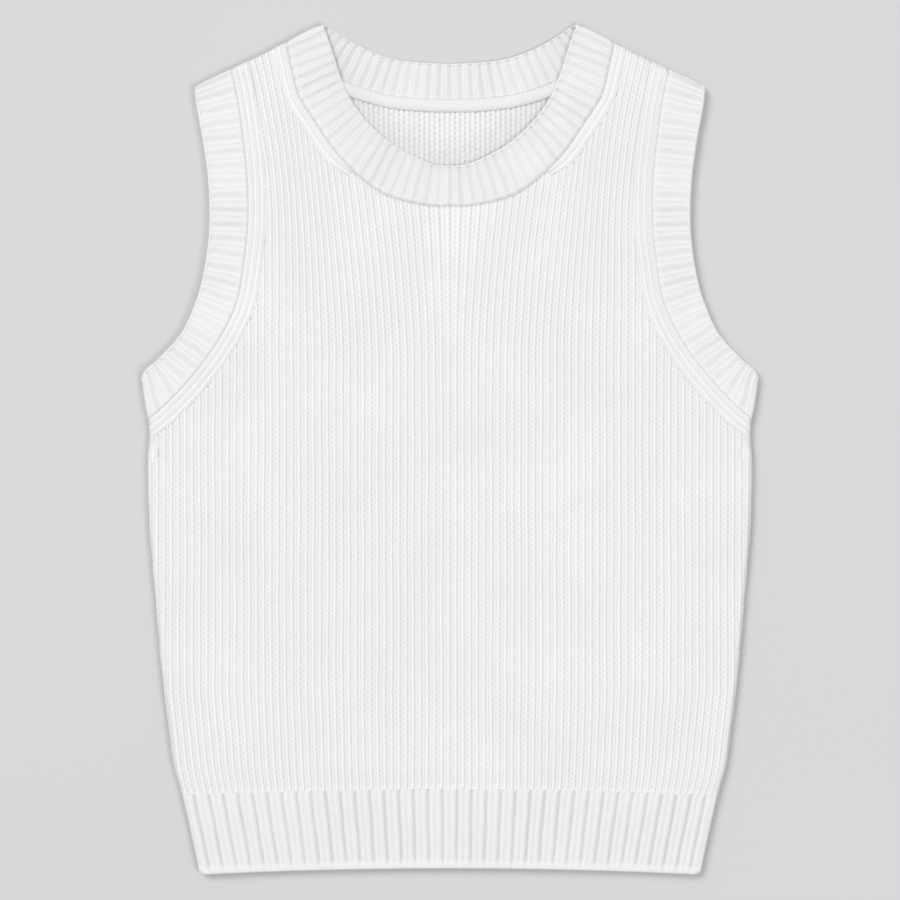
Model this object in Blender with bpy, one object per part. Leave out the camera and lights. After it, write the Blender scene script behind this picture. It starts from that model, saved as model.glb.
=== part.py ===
"""Knitted sweater vest, laid flat with its front up.

Metres, +Z up. The vest lies on the plane z = 0 with its neck towards +Y. X = 0 is the centre line
and the origin is under the middle of the outline. The front turns over to the back along a fold
down each side and each shoulder, so every piece takes its height from one folded shell.
"""

import math
from typing import NamedTuple

import bmesh
import bpy
import numpy as np

# The cloth.
CLOTH_WALL = 0.0028
FOLD_RADIUS = 0.0033
SEAM_GAP = 0.0003
# Air under the middle of the front, which dies away towards the folds and free edges.
FRONT_RISE = 0.0020
RISE_REACH = 0.055

# The hem dips towards its corners by HEM_BOW.
HEM_SEAM = -0.2430
HEM_EDGE = -0.2999
HEM_BOW = 0.0046
HEM_CORNER = 0.0045
UNDERARM = 0.0205
SHOULDER_TILT = math.radians(27)
# Above this height the nearer fold is the shoulder's.
SHOULDER_ABOVE = 0.200

# The rolled seam inside the back neck lies on the back panel, just below the neck rib.
ROLL_WIDTH = 0.0095
ROLL_HEIGHT = 0.0019
ROLL_END_HEIGHT = 0.0005
ROLL_FULL_TO = 0.076
ROLL_END = 0.104

# A free edge is eased to EDGE_EASE of its wall on each face.
EDGE_EASE = 0.28

# How finely the pieces are divided.
BAND_COLUMNS = (0.0, 0.33, 0.66, 0.95, 1.0)
PANEL_COLUMNS = 6
PART_TURNS = (30, 60)
FULL_TURN = 90
SIDE_STEPS = 8
HEM_STEPS = 3
ROLL_STEPS = 12
ROLL_ARC = 5
SMOOTH_BELOW = math.radians(40)

# Halves join on the centre line within MERGE. A place on a table is found by BISECTIONS, near a
# fold within the first FOLD_SEARCH of it.
MERGE = 0.00001
BISECTIONS = 40
FOLD_SEARCH = 0.25


class SideRow(NamedTuple):
    """Half the vest's width at one height."""

    height: float
    half_width: float


class ShoulderRow(NamedTuple):
    """Height of the shoulder fold at one distance from the centre line."""

    half_width: float
    height: float


class Section(NamedTuple):
    """One section across a ribbed band, from its seam to its free edge."""

    seam_x: float
    seam_y: float
    edge_x: float
    edge_y: float


SIDE = [
    SideRow(-0.3050, 0.1790),
    SideRow(-0.2575, 0.1893),
    SideRow(-0.2430, 0.1929),
    SideRow(-0.2286, 0.1971),
    SideRow(-0.2000, 0.2012),
    SideRow(-0.1570, 0.2064),
    SideRow(-0.1000, 0.2114),
    SideRow(-0.0570, 0.2150),
    SideRow(-0.0143, 0.2164),
    SideRow(0.0205, 0.2160),
    SideRow(0.0282, 0.2179),
    SideRow(0.0425, 0.2200),
    SideRow(0.0511, 0.2207),
]
SHOULDER = [
    ShoulderRow(0.0907, 0.3050),
    ShoulderRow(0.1021, 0.3005),
    ShoulderRow(0.1171, 0.2920),
    ShoulderRow(0.1321, 0.2842),
    ShoulderRow(0.1562, 0.2727),
    ShoulderRow(0.1771, 0.2625),
    ShoulderRow(0.1823, 0.2594),
]
# From the underarm fold up to the shoulder fold.
ARMHOLE = [
    Section(0.2160, 0.0205, 0.2207, 0.0511),
    Section(0.2064, 0.0296, 0.2160, 0.0588),
    Section(0.1881, 0.0482, 0.2080, 0.0655),
    Section(0.1718, 0.0689, 0.1925, 0.0829),
    Section(0.1593, 0.0896, 0.1836, 0.1015),
    Section(0.1514, 0.1096, 0.1782, 0.1180),
    Section(0.1471, 0.1368, 0.1740, 0.1405),
    Section(0.1447, 0.1632, 0.1721, 0.1640),
    Section(0.1451, 0.1939, 0.1732, 0.1930),
    Section(0.1482, 0.2246, 0.1770, 0.2215),
    Section(0.1521, 0.2511, 0.1812, 0.2440),
    Section(0.1562, 0.2727, 0.1823, 0.2594),
]
# From the middle of the neck out to the shoulder fold.
FRONT_NECK = [
    Section(0.0000, 0.1743, 0.0000, 0.2029),
    Section(0.0179, 0.1751, 0.0129, 0.2044),
    Section(0.0446, 0.1818, 0.0321, 0.2129),
    Section(0.0629, 0.1939, 0.0464, 0.2225),
    Section(0.0814, 0.2125, 0.0600, 0.2357),
    Section(0.0957, 0.2332, 0.0704, 0.2500),
    Section(0.1082, 0.2532, 0.0786, 0.2679),
    Section(0.1132, 0.2725, 0.0836, 0.2839),
    Section(0.1171, 0.2920, 0.0907, 0.3050),
]
BACK_NECK = [
    Section(0.0000, 0.2496, 0.0000, 0.2763),
    Section(0.0179, 0.2500, 0.0157, 0.2771),
    Section(0.0393, 0.2519, 0.0329, 0.2785),
    Section(0.0571, 0.2561, 0.0471, 0.2819),
    Section(0.0736, 0.2618, 0.0614, 0.2875),
    Section(0.0914, 0.2704, 0.0743, 0.2946),
    Section(0.1057, 0.2804, 0.0836, 0.3007),
    Section(0.1171, 0.2920, 0.0907, 0.3050),
]


class Layer(NamedTuple):
    """One of the two layers of the flat vest. up is +1 for the front and -1 for the back."""

    up: int
    neck: list
    steps_below_neck: int
    steps_beside_neck: int


FRONT = Layer(1, FRONT_NECK, 8, 12)
BACK = Layer(-1, BACK_NECK, 13, 8)


class Finish(NamedTuple):
    """Colour, roughness and metallic value of one piece."""

    colour: tuple
    roughness: float
    metallic: float


STOCKINETTE = Finish((0.86, 0.86, 0.85), 0.88, 0.0)
RIB = Finish((0.84, 0.84, 0.83), 0.90, 0.0)
PURL_SIDE = Finish((0.83, 0.83, 0.82), 0.92, 0.0)
SEAM_ROLL = Finish((0.82, 0.82, 0.81), 0.92, 0.0)


# ---------------------------------------------------------------- curves

def smooth(at, places, values):
    """Value at a place on the smooth curve through a table, straight beyond the table's ends."""
    slopes = np.gradient(values, places)
    if at <= places[0]:
        return values[0] + slopes[0] * (at - places[0])
    if at >= places[-1]:
        return values[-1] + slopes[-1] * (at - places[-1])
    row = int(np.searchsorted(places, at, side="right")) - 1
    span = places[row + 1] - places[row]
    share = (at - places[row]) / span
    turn = share * share * (3 - 2 * share)
    start = share * (1 - share) ** 2 * span * slopes[row]
    end = share * share * (share - 1) * span * slopes[row + 1]
    return values[row] * (1 - turn) + values[row + 1] * turn + start + end


def column(table, name):
    """One named column of a table."""
    return np.array([getattr(row, name) for row in table])


def side_half_width(height):
    """Distance of the side fold from the centre line."""
    return smooth(height, column(SIDE, "height"), column(SIDE, "half_width"))


def shoulder_height(half_width):
    """Height of the shoulder fold."""
    return smooth(half_width, column(SHOULDER, "half_width"), column(SHOULDER, "height"))


def outline_half_width(height):
    """Distance of the outline from the centre line, on the side fold or the armhole's edge."""
    if height <= ARMHOLE[0].edge_y:
        return side_half_width(height)
    return smooth(height, column(ARMHOLE, "edge_y"), column(ARMHOLE, "edge_x"))


def ease(share):
    """Smooth rise from 0 to 1."""
    share = min(1.0, max(0.0, share))
    return share * share * (3 - 2 * share)


# ---------------------------------------------------------------- the folded shell

def fold_depth(x, y):
    """How far a point lies inside the nearer fold, and the level way out to that fold."""
    if y > SHOULDER_ABOVE:
        depth = (shoulder_height(x) - y) * math.cos(SHOULDER_TILT)
        return depth, (math.sin(SHOULDER_TILT), math.cos(SHOULDER_TILT))
    return side_half_width(y) - x, (1.0, 0.0)


def front_rise(x, y):
    """Height of the air under the front."""
    from_side = outline_half_width(y) - x
    from_shoulder = (shoulder_height(x) - y) * math.cos(SHOULDER_TILT)
    from_hem = y - HEM_EDGE
    rise = FRONT_RISE
    for distance in (from_side, from_shoulder, from_hem):
        rise *= ease(distance / RISE_REACH)
    return rise


def shell_point(x, y, up, inset, seam_room):
    """A point inset below the outer skin of one layer. x is on the +X half.

    It stays seam_room clear of the level on which the two layers meet.
    """
    depth, out = fold_depth(x, y)
    lean = min(1.0, max(0.0, 1 - depth / FOLD_RADIUS))
    from_middle = max(seam_room, math.sqrt(1 - lean * lean) * (FOLD_RADIUS - inset))
    z = FOLD_RADIUS + up * from_middle
    if up > 0:
        z += front_rise(x, y)
    return (x - out[0] * lean * inset, y - out[1] * lean * inset, z)


def at_depth(x, y, depth):
    """The point moved straight in or out until it lies at a depth inside its fold."""
    for _ in range(3):
        now, out = fold_depth(x, y)
        x += out[0] * (now - depth)
        y += out[1] * (now - depth)
    return x, y


def turn_depth(degrees):
    """Depth inside the fold at which the shell has turned by an angle."""
    return FOLD_RADIUS * (1 - math.sin(math.radians(degrees)))


# ---------------------------------------------------------------- sections across the bands

class Cut(NamedTuple):
    """A section as placed: its seam point, its edge point and its turn into a fold, if any."""

    seam: tuple
    edge: tuple
    turn: float = None


def section_at(table, place):
    """The cut a share of the way along a table of sections."""
    rows = np.linspace(0.0, 1.0, len(table))
    x0, y0, x1, y1 = (smooth(place, rows, column(table, name)) for name in Section._fields)
    return Cut((x0, y0), (x1, y1))


def place_where(test, low, high):
    """Share along a table where a rising test passes 0."""
    for _ in range(BISECTIONS):
        middle = (low + high) / 2
        if test(middle) > 0:
            high = middle
        else:
            low = middle
    return (low + high) / 2


def cut_in_fold(table, turn, at_start):
    """The cut whose two ends have both turned by an angle into the fold at one end of a table."""
    def at(inward):
        return section_at(table, inward if at_start else 1 - inward)

    def seam_inside(inward):
        return fold_depth(*at(inward).seam)[0] - turn_depth(turn)

    def edge_inside(inward):
        return fold_depth(*at(inward).edge)[0] - turn_depth(turn)

    seam = at(place_where(seam_inside, 0.0, FOLD_SEARCH)).seam
    edge = at(place_where(edge_inside, 0.0, FOLD_SEARCH)).edge
    return Cut(seam, edge, turn)


def fold_cuts(table, at_start):
    """Cuts from level cloth to the middle of a fold."""
    return [cut_in_fold(table, turn, at_start) for turn in (0, *PART_TURNS, FULL_TURN)]


def clear_of_fold(table, low, high, rising):
    """Place in a table where the seam comes well clear of the fold, or nears it again."""
    def test(place):
        clear = fold_depth(*section_at(table, place).seam)[0] - 3 * FOLD_RADIUS
        return clear if rising else -clear

    return place_where(test, low, high)


def armhole_cuts(layer):
    """Cuts across one layer of an armhole band, from the underarm fold to the shoulder fold."""
    def above_neck_foot(place):
        return section_at(ARMHOLE, place).seam[1] - layer.neck[0].seam_y

    start = clear_of_fold(ARMHOLE, 0.0, 0.5, True)
    beside = place_where(above_neck_foot, start, 1.0)
    stop = clear_of_fold(ARMHOLE, beside, 1.0, False)
    low = np.linspace(start, beside, layer.steps_below_neck)
    high = np.linspace(beside, stop, layer.steps_beside_neck)[1:]
    level = [section_at(ARMHOLE, place) for place in (*low, *high)]
    return [*fold_cuts(ARMHOLE, True)[::-1], *level, *fold_cuts(ARMHOLE, False)]


def neck_cuts(layer):
    """Cuts across one layer of the neck band, from the centre line to the shoulder fold."""
    stop = clear_of_fold(layer.neck, 0.5, 1.0, False)
    places = np.linspace(0.0, stop, layer.steps_beside_neck)
    level = [section_at(layer.neck, place) for place in places]
    return [*level, *fold_cuts(layer.neck, False)]


def beside_seam(cuts, distance):
    """Seam points moved level and square to the seam, towards the band where distance is over 0."""
    seams = np.array([cut.seam for cut in cuts])
    edges = np.array([cut.edge for cut in cuts])
    along = np.gradient(seams, axis=0)
    square = np.stack([along[:, 1], -along[:, 0]], axis=1)
    square /= np.linalg.norm(square, axis=1, keepdims=True)
    square *= np.sign(np.sum(square * (edges - seams), axis=1, keepdims=True))
    found = seams + square * distance
    found[seams[:, 0] == 0.0, 0] = 0.0
    return [tuple(point) for point in found]


def moved(start, towards, distance):
    """A point moved a distance towards another."""
    length = math.dist(start, towards)
    return tuple(a + (b - a) * distance / length for a, b in zip(start, towards))


def across(start, end, shares):
    """Points between two places."""
    return [tuple(a + (b - a) * share for a, b in zip(start, end)) for share in shares]


# ---------------------------------------------------------------- meshes

def clear_scene():
    """Empty the scene."""
    for item in list(bpy.data.objects):
        bpy.data.objects.remove(item, do_unlink=True)


def make_material(name, finish):
    """Principled material of one piece."""
    material = bpy.data.materials.new(name)
    material.use_nodes = True
    shader = material.node_tree.nodes["Principled BSDF"]
    shader.inputs["Base Color"].default_value = (*finish.colour, 1.0)
    shader.inputs["Roughness"].default_value = finish.roughness
    shader.inputs["Metallic"].default_value = finish.metallic
    return material


def make_object(name, shape, finish):
    """Turn a finished bmesh into a named, smooth-shaded object.

    Quads are split along their shorter diagonal, so that two walls along a seam match.
    """
    bmesh.ops.recalc_face_normals(shape, faces=shape.faces)
    bmesh.ops.triangulate(shape, faces=shape.faces, quad_method="SHORT_EDGE")
    mesh = bpy.data.meshes.new(name)
    shape.to_mesh(mesh)
    shape.free()
    mesh.shade_smooth()
    mesh.set_sharp_from_angle(angle=SMOOTH_BELOW)
    mesh.materials.append(make_material(name, finish))
    item = bpy.data.objects.new(name, mesh)
    bpy.context.scene.collection.objects.link(item)
    return item


def two_skins(rows, up, seam_room=0.0):
    """Outer and inner skin of rows of level points on one layer."""
    return [
        np.array([[shell_point(x, y, up, inset, seam_room) for x, y in row] for row in rows])
        for inset in (0.0, CLOTH_WALL)
    ]


def ease_edge(skins, edge):
    """Draw the two skins together along an edge, so that a free edge isn't square."""
    outer, inner = skins
    wall = inner[edge] - outer[edge]
    outer[edge] += wall * EDGE_EASE
    inner[edge] -= wall * EDGE_EASE


def close_wall(skins, ring=False, mirrored_rows=0):
    """A wall between two skins, closed along its first and last columns.

    A ring joins its last row to its first. The first mirrored_rows rows start on the centre
    line, where the other half joins on.
    """
    shape = bmesh.new()
    outer, inner = ([[shape.verts.new(p) for p in row] for row in skin] for skin in skins)
    last_row = len(outer) if ring else len(outer) - 1
    for low in range(last_row):
        high = (low + 1) % len(outer)
        for skin in (outer, inner):
            for a, b, c, d in zip(skin[low], skin[low][1:], skin[high][1:], skin[high]):
                shape.faces.new((a, b, c, d))
        if high >= mirrored_rows:
            shape.faces.new((outer[low][0], outer[high][0], inner[high][0], inner[low][0]))
        shape.faces.new((outer[low][-1], outer[high][-1], inner[high][-1], inner[low][-1]))
    return shape, (outer, inner)


def close_ends(shape, skins):
    """Walls along the first and last rows."""
    outer, inner = skins
    for row in (0, -1):
        for a, b, c, d in zip(outer[row], outer[row][1:], inner[row][1:], inner[row]):
            shape.faces.new((a, b, c, d))


def mirror_half(shape):
    """Add the other half and join the two along the centre line."""
    everything = [*shape.verts, *shape.edges, *shape.faces]
    bmesh.ops.mirror(shape, geom=everything, axis="X", merge_dist=MERGE)


# ---------------------------------------------------------------- panels and hem

def side_row(height, bow):
    """Level points from the centre line to the side fold, the row dipping by bow at its end."""
    fold = side_half_width(height - bow)
    level = np.linspace(0.0, fold - turn_depth(0), PANEL_COLUMNS)
    turning = [fold - turn_depth(turn) for turn in PART_TURNS]
    return [(x, height - bow * (x / fold) ** 2) for x in (*level, *turning, fold)]


def armhole_row(inner_end, outer_end):
    """Level points from the centre line or neck seam to the armhole seam."""
    turning = [moved(outer_end, inner_end, turn_depth(turn)) for turn in (0, *PART_TURNS)]
    level = across(inner_end, turning[0], np.linspace(0.0, 1.0, PANEL_COLUMNS))
    return [*level, *turning[1:], outer_end]


def make_panel(name, layer, finish):
    """Front or back: rows from the hem to the shoulder, mirrored about the centre line."""
    rows = []
    for height in np.linspace(HEM_SEAM + SEAM_GAP / 2, UNDERARM, SIDE_STEPS, endpoint=False):
        share = (UNDERARM - height) / (UNDERARM - HEM_SEAM)
        rows.append(side_row(height, HEM_BOW * share**2))
    armhole = beside_seam(armhole_cuts(layer), -SEAM_GAP / 2)
    neck = beside_seam(neck_cuts(layer), -SEAM_GAP / 2)
    centre = [(0.0, end[1]) for end in armhole[: len(armhole) - len(neck)]]
    mirrored_rows = len(rows) + len(centre) + 1
    rows += [armhole_row(*ends) for ends in zip((*centre, *neck), armhole)]
    rows[-1] = [at_depth(x, y, 0.0) for x, y in rows[-1]]
    skins = two_skins(rows, layer.up, SEAM_GAP / 2)
    shape, skins = close_wall(skins, mirrored_rows=mirrored_rows)
    close_ends(shape, skins)
    mirror_half(shape)
    return make_object(name, shape, finish)


def make_hem_rib(name, layer, finish):
    """Ribbed band below a panel, with round bottom corners."""
    corner_top = HEM_EDGE + HEM_CORNER
    steps = np.linspace(HEM_SEAM - SEAM_GAP / 2, corner_top, HEM_STEPS)
    rows = []
    for height in (*steps, HEM_EDGE + HEM_CORNER * 0.3, HEM_EDGE):
        row = side_row(height, HEM_BOW)
        into_corner = min(1.0, max(0.0, corner_top - height) / HEM_CORNER)
        pull = HEM_CORNER * (1 - math.sqrt(1 - into_corner**2))
        narrower = 1 - pull / row[-1][0]
        rows.append([(x * narrower, y) for x, y in row])
    skins = two_skins(rows, layer.up, SEAM_GAP / 2)
    ease_edge(skins, np.s_[-1])
    shape, skins = close_wall(skins, mirrored_rows=len(rows))
    close_ends(shape, skins)
    mirror_half(shape)
    return make_object(name, shape, finish)


# ---------------------------------------------------------------- neck and armhole bands

def band_rows(cuts):
    """Level points across a band, each row starting half a seam gap off the seam."""
    rows = []
    for cut, start in zip(cuts, beside_seam(cuts, SEAM_GAP / 2)):
        row = across(cut.seam, cut.edge, BAND_COLUMNS)
        if cut.turn is not None:
            row = [at_depth(x, y, turn_depth(cut.turn)) for x, y in row]
        rows.append([start, *row[1:]])
    return rows


def folded_skins(find_cuts, shared_folds):
    """Skins of a band that folds from the front layer to the back one.

    The back layer's rows run the other way. They leave out the folds that the front's rows hold:
    the last row, and with shared_folds of 2 the first row too.
    """
    front = two_skins(band_rows(find_cuts(FRONT)), FRONT.up)
    back = two_skins(band_rows(find_cuts(BACK)), BACK.up)
    first_kept = shared_folds - 1
    skins = [
        np.concatenate([top, under[first_kept:-1][::-1]]) for top, under in zip(front, back)
    ]
    ease_edge(skins, np.s_[:, -1])
    return skins


def make_neck_rib(name, finish):
    """Ring round the neck: front and back halves that fold over at both shoulders."""
    shape, _ = close_wall(folded_skins(neck_cuts, 1))
    mirror_half(shape)
    return make_object(name, shape, finish)


def make_armhole_rib(name, side, finish):
    """Ring round an armhole, folded under the arm and at the shoulder."""
    skins = folded_skins(armhole_cuts, 2)
    for skin in skins:
        skin[:, :, 0] *= side
    shape, _ = close_wall(skins, ring=True)
    return make_object(name, shape, finish)


def roll_height(half_width):
    """Height of the neck roll, which thins out under the front neck band."""
    share = ease((half_width - ROLL_FULL_TO) / (ROLL_END - ROLL_FULL_TO))
    return ROLL_HEIGHT + (ROLL_END_HEIGHT - ROLL_HEIGHT) * share


def make_neck_roll(name, finish):
    """Half-round roll on the inside of the back panel, along its neck seam."""
    def past_end(place):
        return section_at(BACK_NECK, place).seam[0] - ROLL_END

    shape = bmesh.new()
    loops = []
    for place in np.linspace(0.0, place_where(past_end, 0.0, 1.0), ROLL_STEPS):
        cut = section_at(BACK_NECK, place)
        loop = []
        for angle in np.linspace(0.0, math.pi, ROLL_ARC):
            from_seam = SEAM_GAP + ROLL_WIDTH * (1 - math.cos(angle)) / 2
            x, y = moved(cut.seam, cut.edge, -from_seam)
            z = CLOTH_WALL + SEAM_GAP + roll_height(cut.seam[0]) * math.sin(angle)
            loop.append(shape.verts.new((x, y, z)))
        loops.append(loop)
    for low, high in zip(loops, loops[1:]):
        for at in range(ROLL_ARC):
            after = (at + 1) % ROLL_ARC
            shape.faces.new((low[at], low[after], high[after], high[at]))
    shape.faces.new(loops[-1])
    mirror_half(shape)
    return make_object(name, shape, finish)


def main():
    """Build the vest."""
    clear_scene()
    make_panel("front_panel", FRONT, STOCKINETTE)
    make_panel("back_panel", BACK, PURL_SIDE)
    make_hem_rib("front_hem_rib", FRONT, RIB)
    make_hem_rib("back_hem_rib", BACK, RIB)
    make_neck_rib("neck_rib", RIB)
    make_armhole_rib("armhole_rib_left", 1, RIB)
    make_armhole_rib("armhole_rib_right", -1, RIB)
    make_neck_roll("back_neck_roll", SEAM_ROLL)


main()
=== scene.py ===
"""Knitted sweater vest, laid flat with its front up, with its stitches modelled one by one.

Metres, +Z up. The neck is towards +Y and x = 0 is the centre line. Level places called unrolled are
measured over the cloth, as if the folds down the sides and along the shoulders were pressed open.
FoldedShell rolls them back round the folds. A lift is a distance out of the cloth's outer skin, and
a depth is a distance into it.
"""

import logging
import math
from dataclasses import dataclass, field, replace
from enum import Enum
from typing import NamedTuple

import bmesh
import bpy
import numpy as np
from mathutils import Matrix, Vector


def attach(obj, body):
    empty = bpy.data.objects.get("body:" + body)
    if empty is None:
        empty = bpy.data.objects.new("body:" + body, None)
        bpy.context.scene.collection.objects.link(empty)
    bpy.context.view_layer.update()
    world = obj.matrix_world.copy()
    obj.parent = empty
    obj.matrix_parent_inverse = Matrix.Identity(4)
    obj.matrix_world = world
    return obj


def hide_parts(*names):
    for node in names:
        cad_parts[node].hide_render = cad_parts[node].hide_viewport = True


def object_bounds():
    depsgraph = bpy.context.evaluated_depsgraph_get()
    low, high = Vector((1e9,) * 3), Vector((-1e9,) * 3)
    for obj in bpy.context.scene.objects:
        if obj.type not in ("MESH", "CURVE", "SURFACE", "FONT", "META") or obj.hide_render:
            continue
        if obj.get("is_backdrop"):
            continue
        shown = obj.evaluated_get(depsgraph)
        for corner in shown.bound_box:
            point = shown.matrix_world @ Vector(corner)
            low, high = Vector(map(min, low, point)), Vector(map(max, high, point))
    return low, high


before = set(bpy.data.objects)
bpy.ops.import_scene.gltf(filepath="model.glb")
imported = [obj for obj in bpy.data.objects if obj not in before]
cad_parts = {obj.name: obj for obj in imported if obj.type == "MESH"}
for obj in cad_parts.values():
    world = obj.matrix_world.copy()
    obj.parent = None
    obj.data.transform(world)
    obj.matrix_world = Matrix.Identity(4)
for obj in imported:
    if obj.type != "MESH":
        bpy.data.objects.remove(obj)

Array = np.ndarray
BODY = "root"
MM = 0.001
TINY = 1e-9
SECTIONS_IN_A_TABLE = 700
PLACES_AT_ONCE = 8192
# How much painted shade darkens yarn sunk beside a seam, and how much painted shadow
# darkens the inside of the back near the collar.
SEAM_SHADE = 0.35
COLLAR_SHADE = 0.35
COLLAR_SHADE_REACH = 26 * MM
log = logging.getLogger("vest")


# ---------------------------------------------------------------- named options

class Layer(Enum):
    """The two layers of the flat vest."""

    FRONT = 1
    BACK = -1


class Weave(Enum):
    """How the bump of a finish follows the yarn."""

    LEGS = "legs"
    CORD = "cord"


# ---------------------------------------------------------------- the vest's outline

class SideRow(NamedTuple):
    """Half the vest's width at one height."""

    height: float
    half_width: float


class ShoulderRow(NamedTuple):
    """Height of the shoulder fold at one distance from the centre line."""

    half_width: float
    height: float


class Section(NamedTuple):
    """One section across a ribbed band, from its seam to its free edge."""

    seam_x: float
    seam_y: float
    edge_x: float
    edge_y: float


class Crease(NamedTuple):
    """A soft ridge, or a trough where the height is below 0. Heading is in degrees from +X."""

    x: float
    y: float
    length: float
    width: float
    heading: float
    height: float


SIDE = [
    SideRow(-0.3050, 0.1790),
    SideRow(-0.2575, 0.1893),
    SideRow(-0.2430, 0.1929),
    SideRow(-0.2286, 0.1971),
    SideRow(-0.2000, 0.2012),
    SideRow(-0.1570, 0.2064),
    SideRow(-0.1000, 0.2114),
    SideRow(-0.0570, 0.2150),
    SideRow(-0.0143, 0.2164),
    SideRow(0.0205, 0.2160),
    SideRow(0.0282, 0.2179),
    SideRow(0.0425, 0.2200),
    SideRow(0.0511, 0.2207),
]
SHOULDER = [
    ShoulderRow(0.0907, 0.3050),
    ShoulderRow(0.1021, 0.3005),
    ShoulderRow(0.1171, 0.2920),
    ShoulderRow(0.1321, 0.2842),
    ShoulderRow(0.1562, 0.2727),
    ShoulderRow(0.1771, 0.2625),
    ShoulderRow(0.1823, 0.2594),
]
# From the underarm fold up to the shoulder fold.
ARMHOLE = [
    Section(0.2160, 0.0205, 0.2207, 0.0511),
    Section(0.2064, 0.0296, 0.2160, 0.0588),
    Section(0.1881, 0.0482, 0.2080, 0.0655),
    Section(0.1718, 0.0689, 0.1925, 0.0829),
    Section(0.1593, 0.0896, 0.1836, 0.1015),
    Section(0.1514, 0.1096, 0.1782, 0.1180),
    Section(0.1471, 0.1368, 0.1740, 0.1405),
    Section(0.1447, 0.1632, 0.1721, 0.1640),
    Section(0.1451, 0.1939, 0.1732, 0.1930),
    Section(0.1482, 0.2246, 0.1770, 0.2215),
    Section(0.1521, 0.2511, 0.1812, 0.2440),
    Section(0.1562, 0.2727, 0.1823, 0.2594),
]
# From the middle of the neck out to the shoulder fold.
FRONT_NECK = [
    Section(0.0000, 0.1743, 0.0000, 0.2029),
    Section(0.0179, 0.1751, 0.0129, 0.2044),
    Section(0.0446, 0.1818, 0.0321, 0.2129),
    Section(0.0629, 0.1939, 0.0464, 0.2225),
    Section(0.0814, 0.2125, 0.0600, 0.2357),
    Section(0.0957, 0.2332, 0.0704, 0.2500),
    Section(0.1082, 0.2532, 0.0786, 0.2679),
    Section(0.1132, 0.2725, 0.0836, 0.2839),
    Section(0.1171, 0.2920, 0.0907, 0.3050),
]
BACK_NECK = [
    Section(0.0000, 0.2496, 0.0000, 0.2763),
    Section(0.0179, 0.2500, 0.0157, 0.2771),
    Section(0.0393, 0.2519, 0.0329, 0.2785),
    Section(0.0571, 0.2561, 0.0471, 0.2819),
    Section(0.0736, 0.2618, 0.0614, 0.2875),
    Section(0.0914, 0.2704, 0.0743, 0.2946),
    Section(0.1057, 0.2804, 0.0836, 0.3007),
    Section(0.1171, 0.2920, 0.0907, 0.3050),
]
# Soft ridges and troughs laid by hand. The long ridge is where the body blouses over its hem rib.
FRONT_CREASES = [
    Crease(0.000, -0.2290, 0.230, 0.012, 0, 0.0007),
    Crease(-0.158, 0.0060, 0.062, 0.013, 58, -0.0006),
    Crease(0.149, -0.0040, 0.074, 0.015, 124, -0.0005),
    Crease(-0.071, -0.1830, 0.048, 0.019, 94, 0.0004),
    Crease(0.092, -0.1460, 0.064, 0.022, 83, 0.0004),
    Crease(0.018, 0.1130, 0.056, 0.021, 14, 0.0004),
    Crease(-0.113, 0.1840, 0.052, 0.013, 76, -0.0004),
    Crease(0.119, 0.1720, 0.046, 0.012, 104, -0.0005),
    Crease(-0.024, -0.0620, 0.090, 0.026, 71, 0.0003),
]
BACK_CREASES = [
    Crease(0.150, 0.0100, 0.066, 0.014, 121, 0.0005),
    Crease(-0.146, -0.0120, 0.058, 0.016, 60, 0.0006),
    Crease(0.034, -0.1520, 0.082, 0.020, 97, 0.0004),
    Crease(-0.078, 0.1210, 0.060, 0.017, 28, 0.0004),
    Crease(0.066, 0.1640, 0.050, 0.014, 156, 0.0005),
]
CREASES = {Layer.FRONT: FRONT_CREASES, Layer.BACK: BACK_CREASES}


# ---------------------------------------------------------------- curves

def column(table: list, name: str) -> Array:
    """One named column of a table."""
    return np.array([getattr(row, name) for row in table])


def ease(share: Array) -> Array:
    """Smooth rise from 0 to 1."""
    share = np.clip(share, 0.0, 1.0)
    return share * share * (3 - 2 * share)


def smooth(at: Array, places: Array, values: Array) -> Array:
    """Read a smooth curve through a table, straight beyond the table's ends.

    Args:
        at: Places to read.
        places: The table's rising places.
        values: The table's value at each place.

    Returns:
        The curve's value at each place in at.
    """
    slopes = np.gradient(values, places)
    inside = np.clip(at, places[0], places[-1])
    row = np.clip(np.searchsorted(places, inside, side="right") - 1, 0, len(places) - 2)
    span = places[row + 1] - places[row]
    share = (inside - places[row]) / span
    turn = share * share * (3 - 2 * share)
    start = share * (1 - share) ** 2 * span * slopes[row]
    end = share * share * (share - 1) * span * slopes[row + 1]
    value = values[row] * (1 - turn) + values[row + 1] * turn + start + end
    beyond = np.where(at > places[-1], slopes[-1], slopes[0]) * (at - inside)
    return value + beyond


def row_gap(phase: Array) -> Array:
    """How near places lie to the gap between two rows: 1 in it and 0 half-way up a row."""
    return 0.5 + 0.5 * np.cos(2 * math.pi * phase)


def travelled(points: Array) -> Array:
    """Distance along a line of points, from its first point to each."""
    steps = np.linalg.norm(np.diff(points, axis=0), axis=1)
    return np.concatenate([[0.0], np.cumsum(steps)])


def read_line(at: Array, along: Array, line: Array) -> Array:
    """Points of a line at distances along it, with a last axis of the line's own coordinates."""
    return np.stack([np.interp(at, along, line[:, axis]) for axis in range(line.shape[1])], -1)


def left_normals(line: Array) -> Array:
    """Level unit vectors to the left of a level line."""
    heading = np.gradient(line, axis=0)
    heading /= np.linalg.norm(heading, axis=1, keepdims=True)
    return np.stack([-heading[:, 1], heading[:, 0]], axis=1)


def both_halves(line: Array) -> Array:
    """A level line from the centre line out, joined to its mirror image."""
    return np.concatenate([(line * np.array([-1.0, 1.0]))[:0:-1], line])


def touching(inside: Array) -> Array:
    """Which of a grid's quads have any corner inside."""
    return inside[:-1, :-1] | inside[1:, :-1] | inside[:-1, 1:] | inside[1:, 1:]


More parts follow.
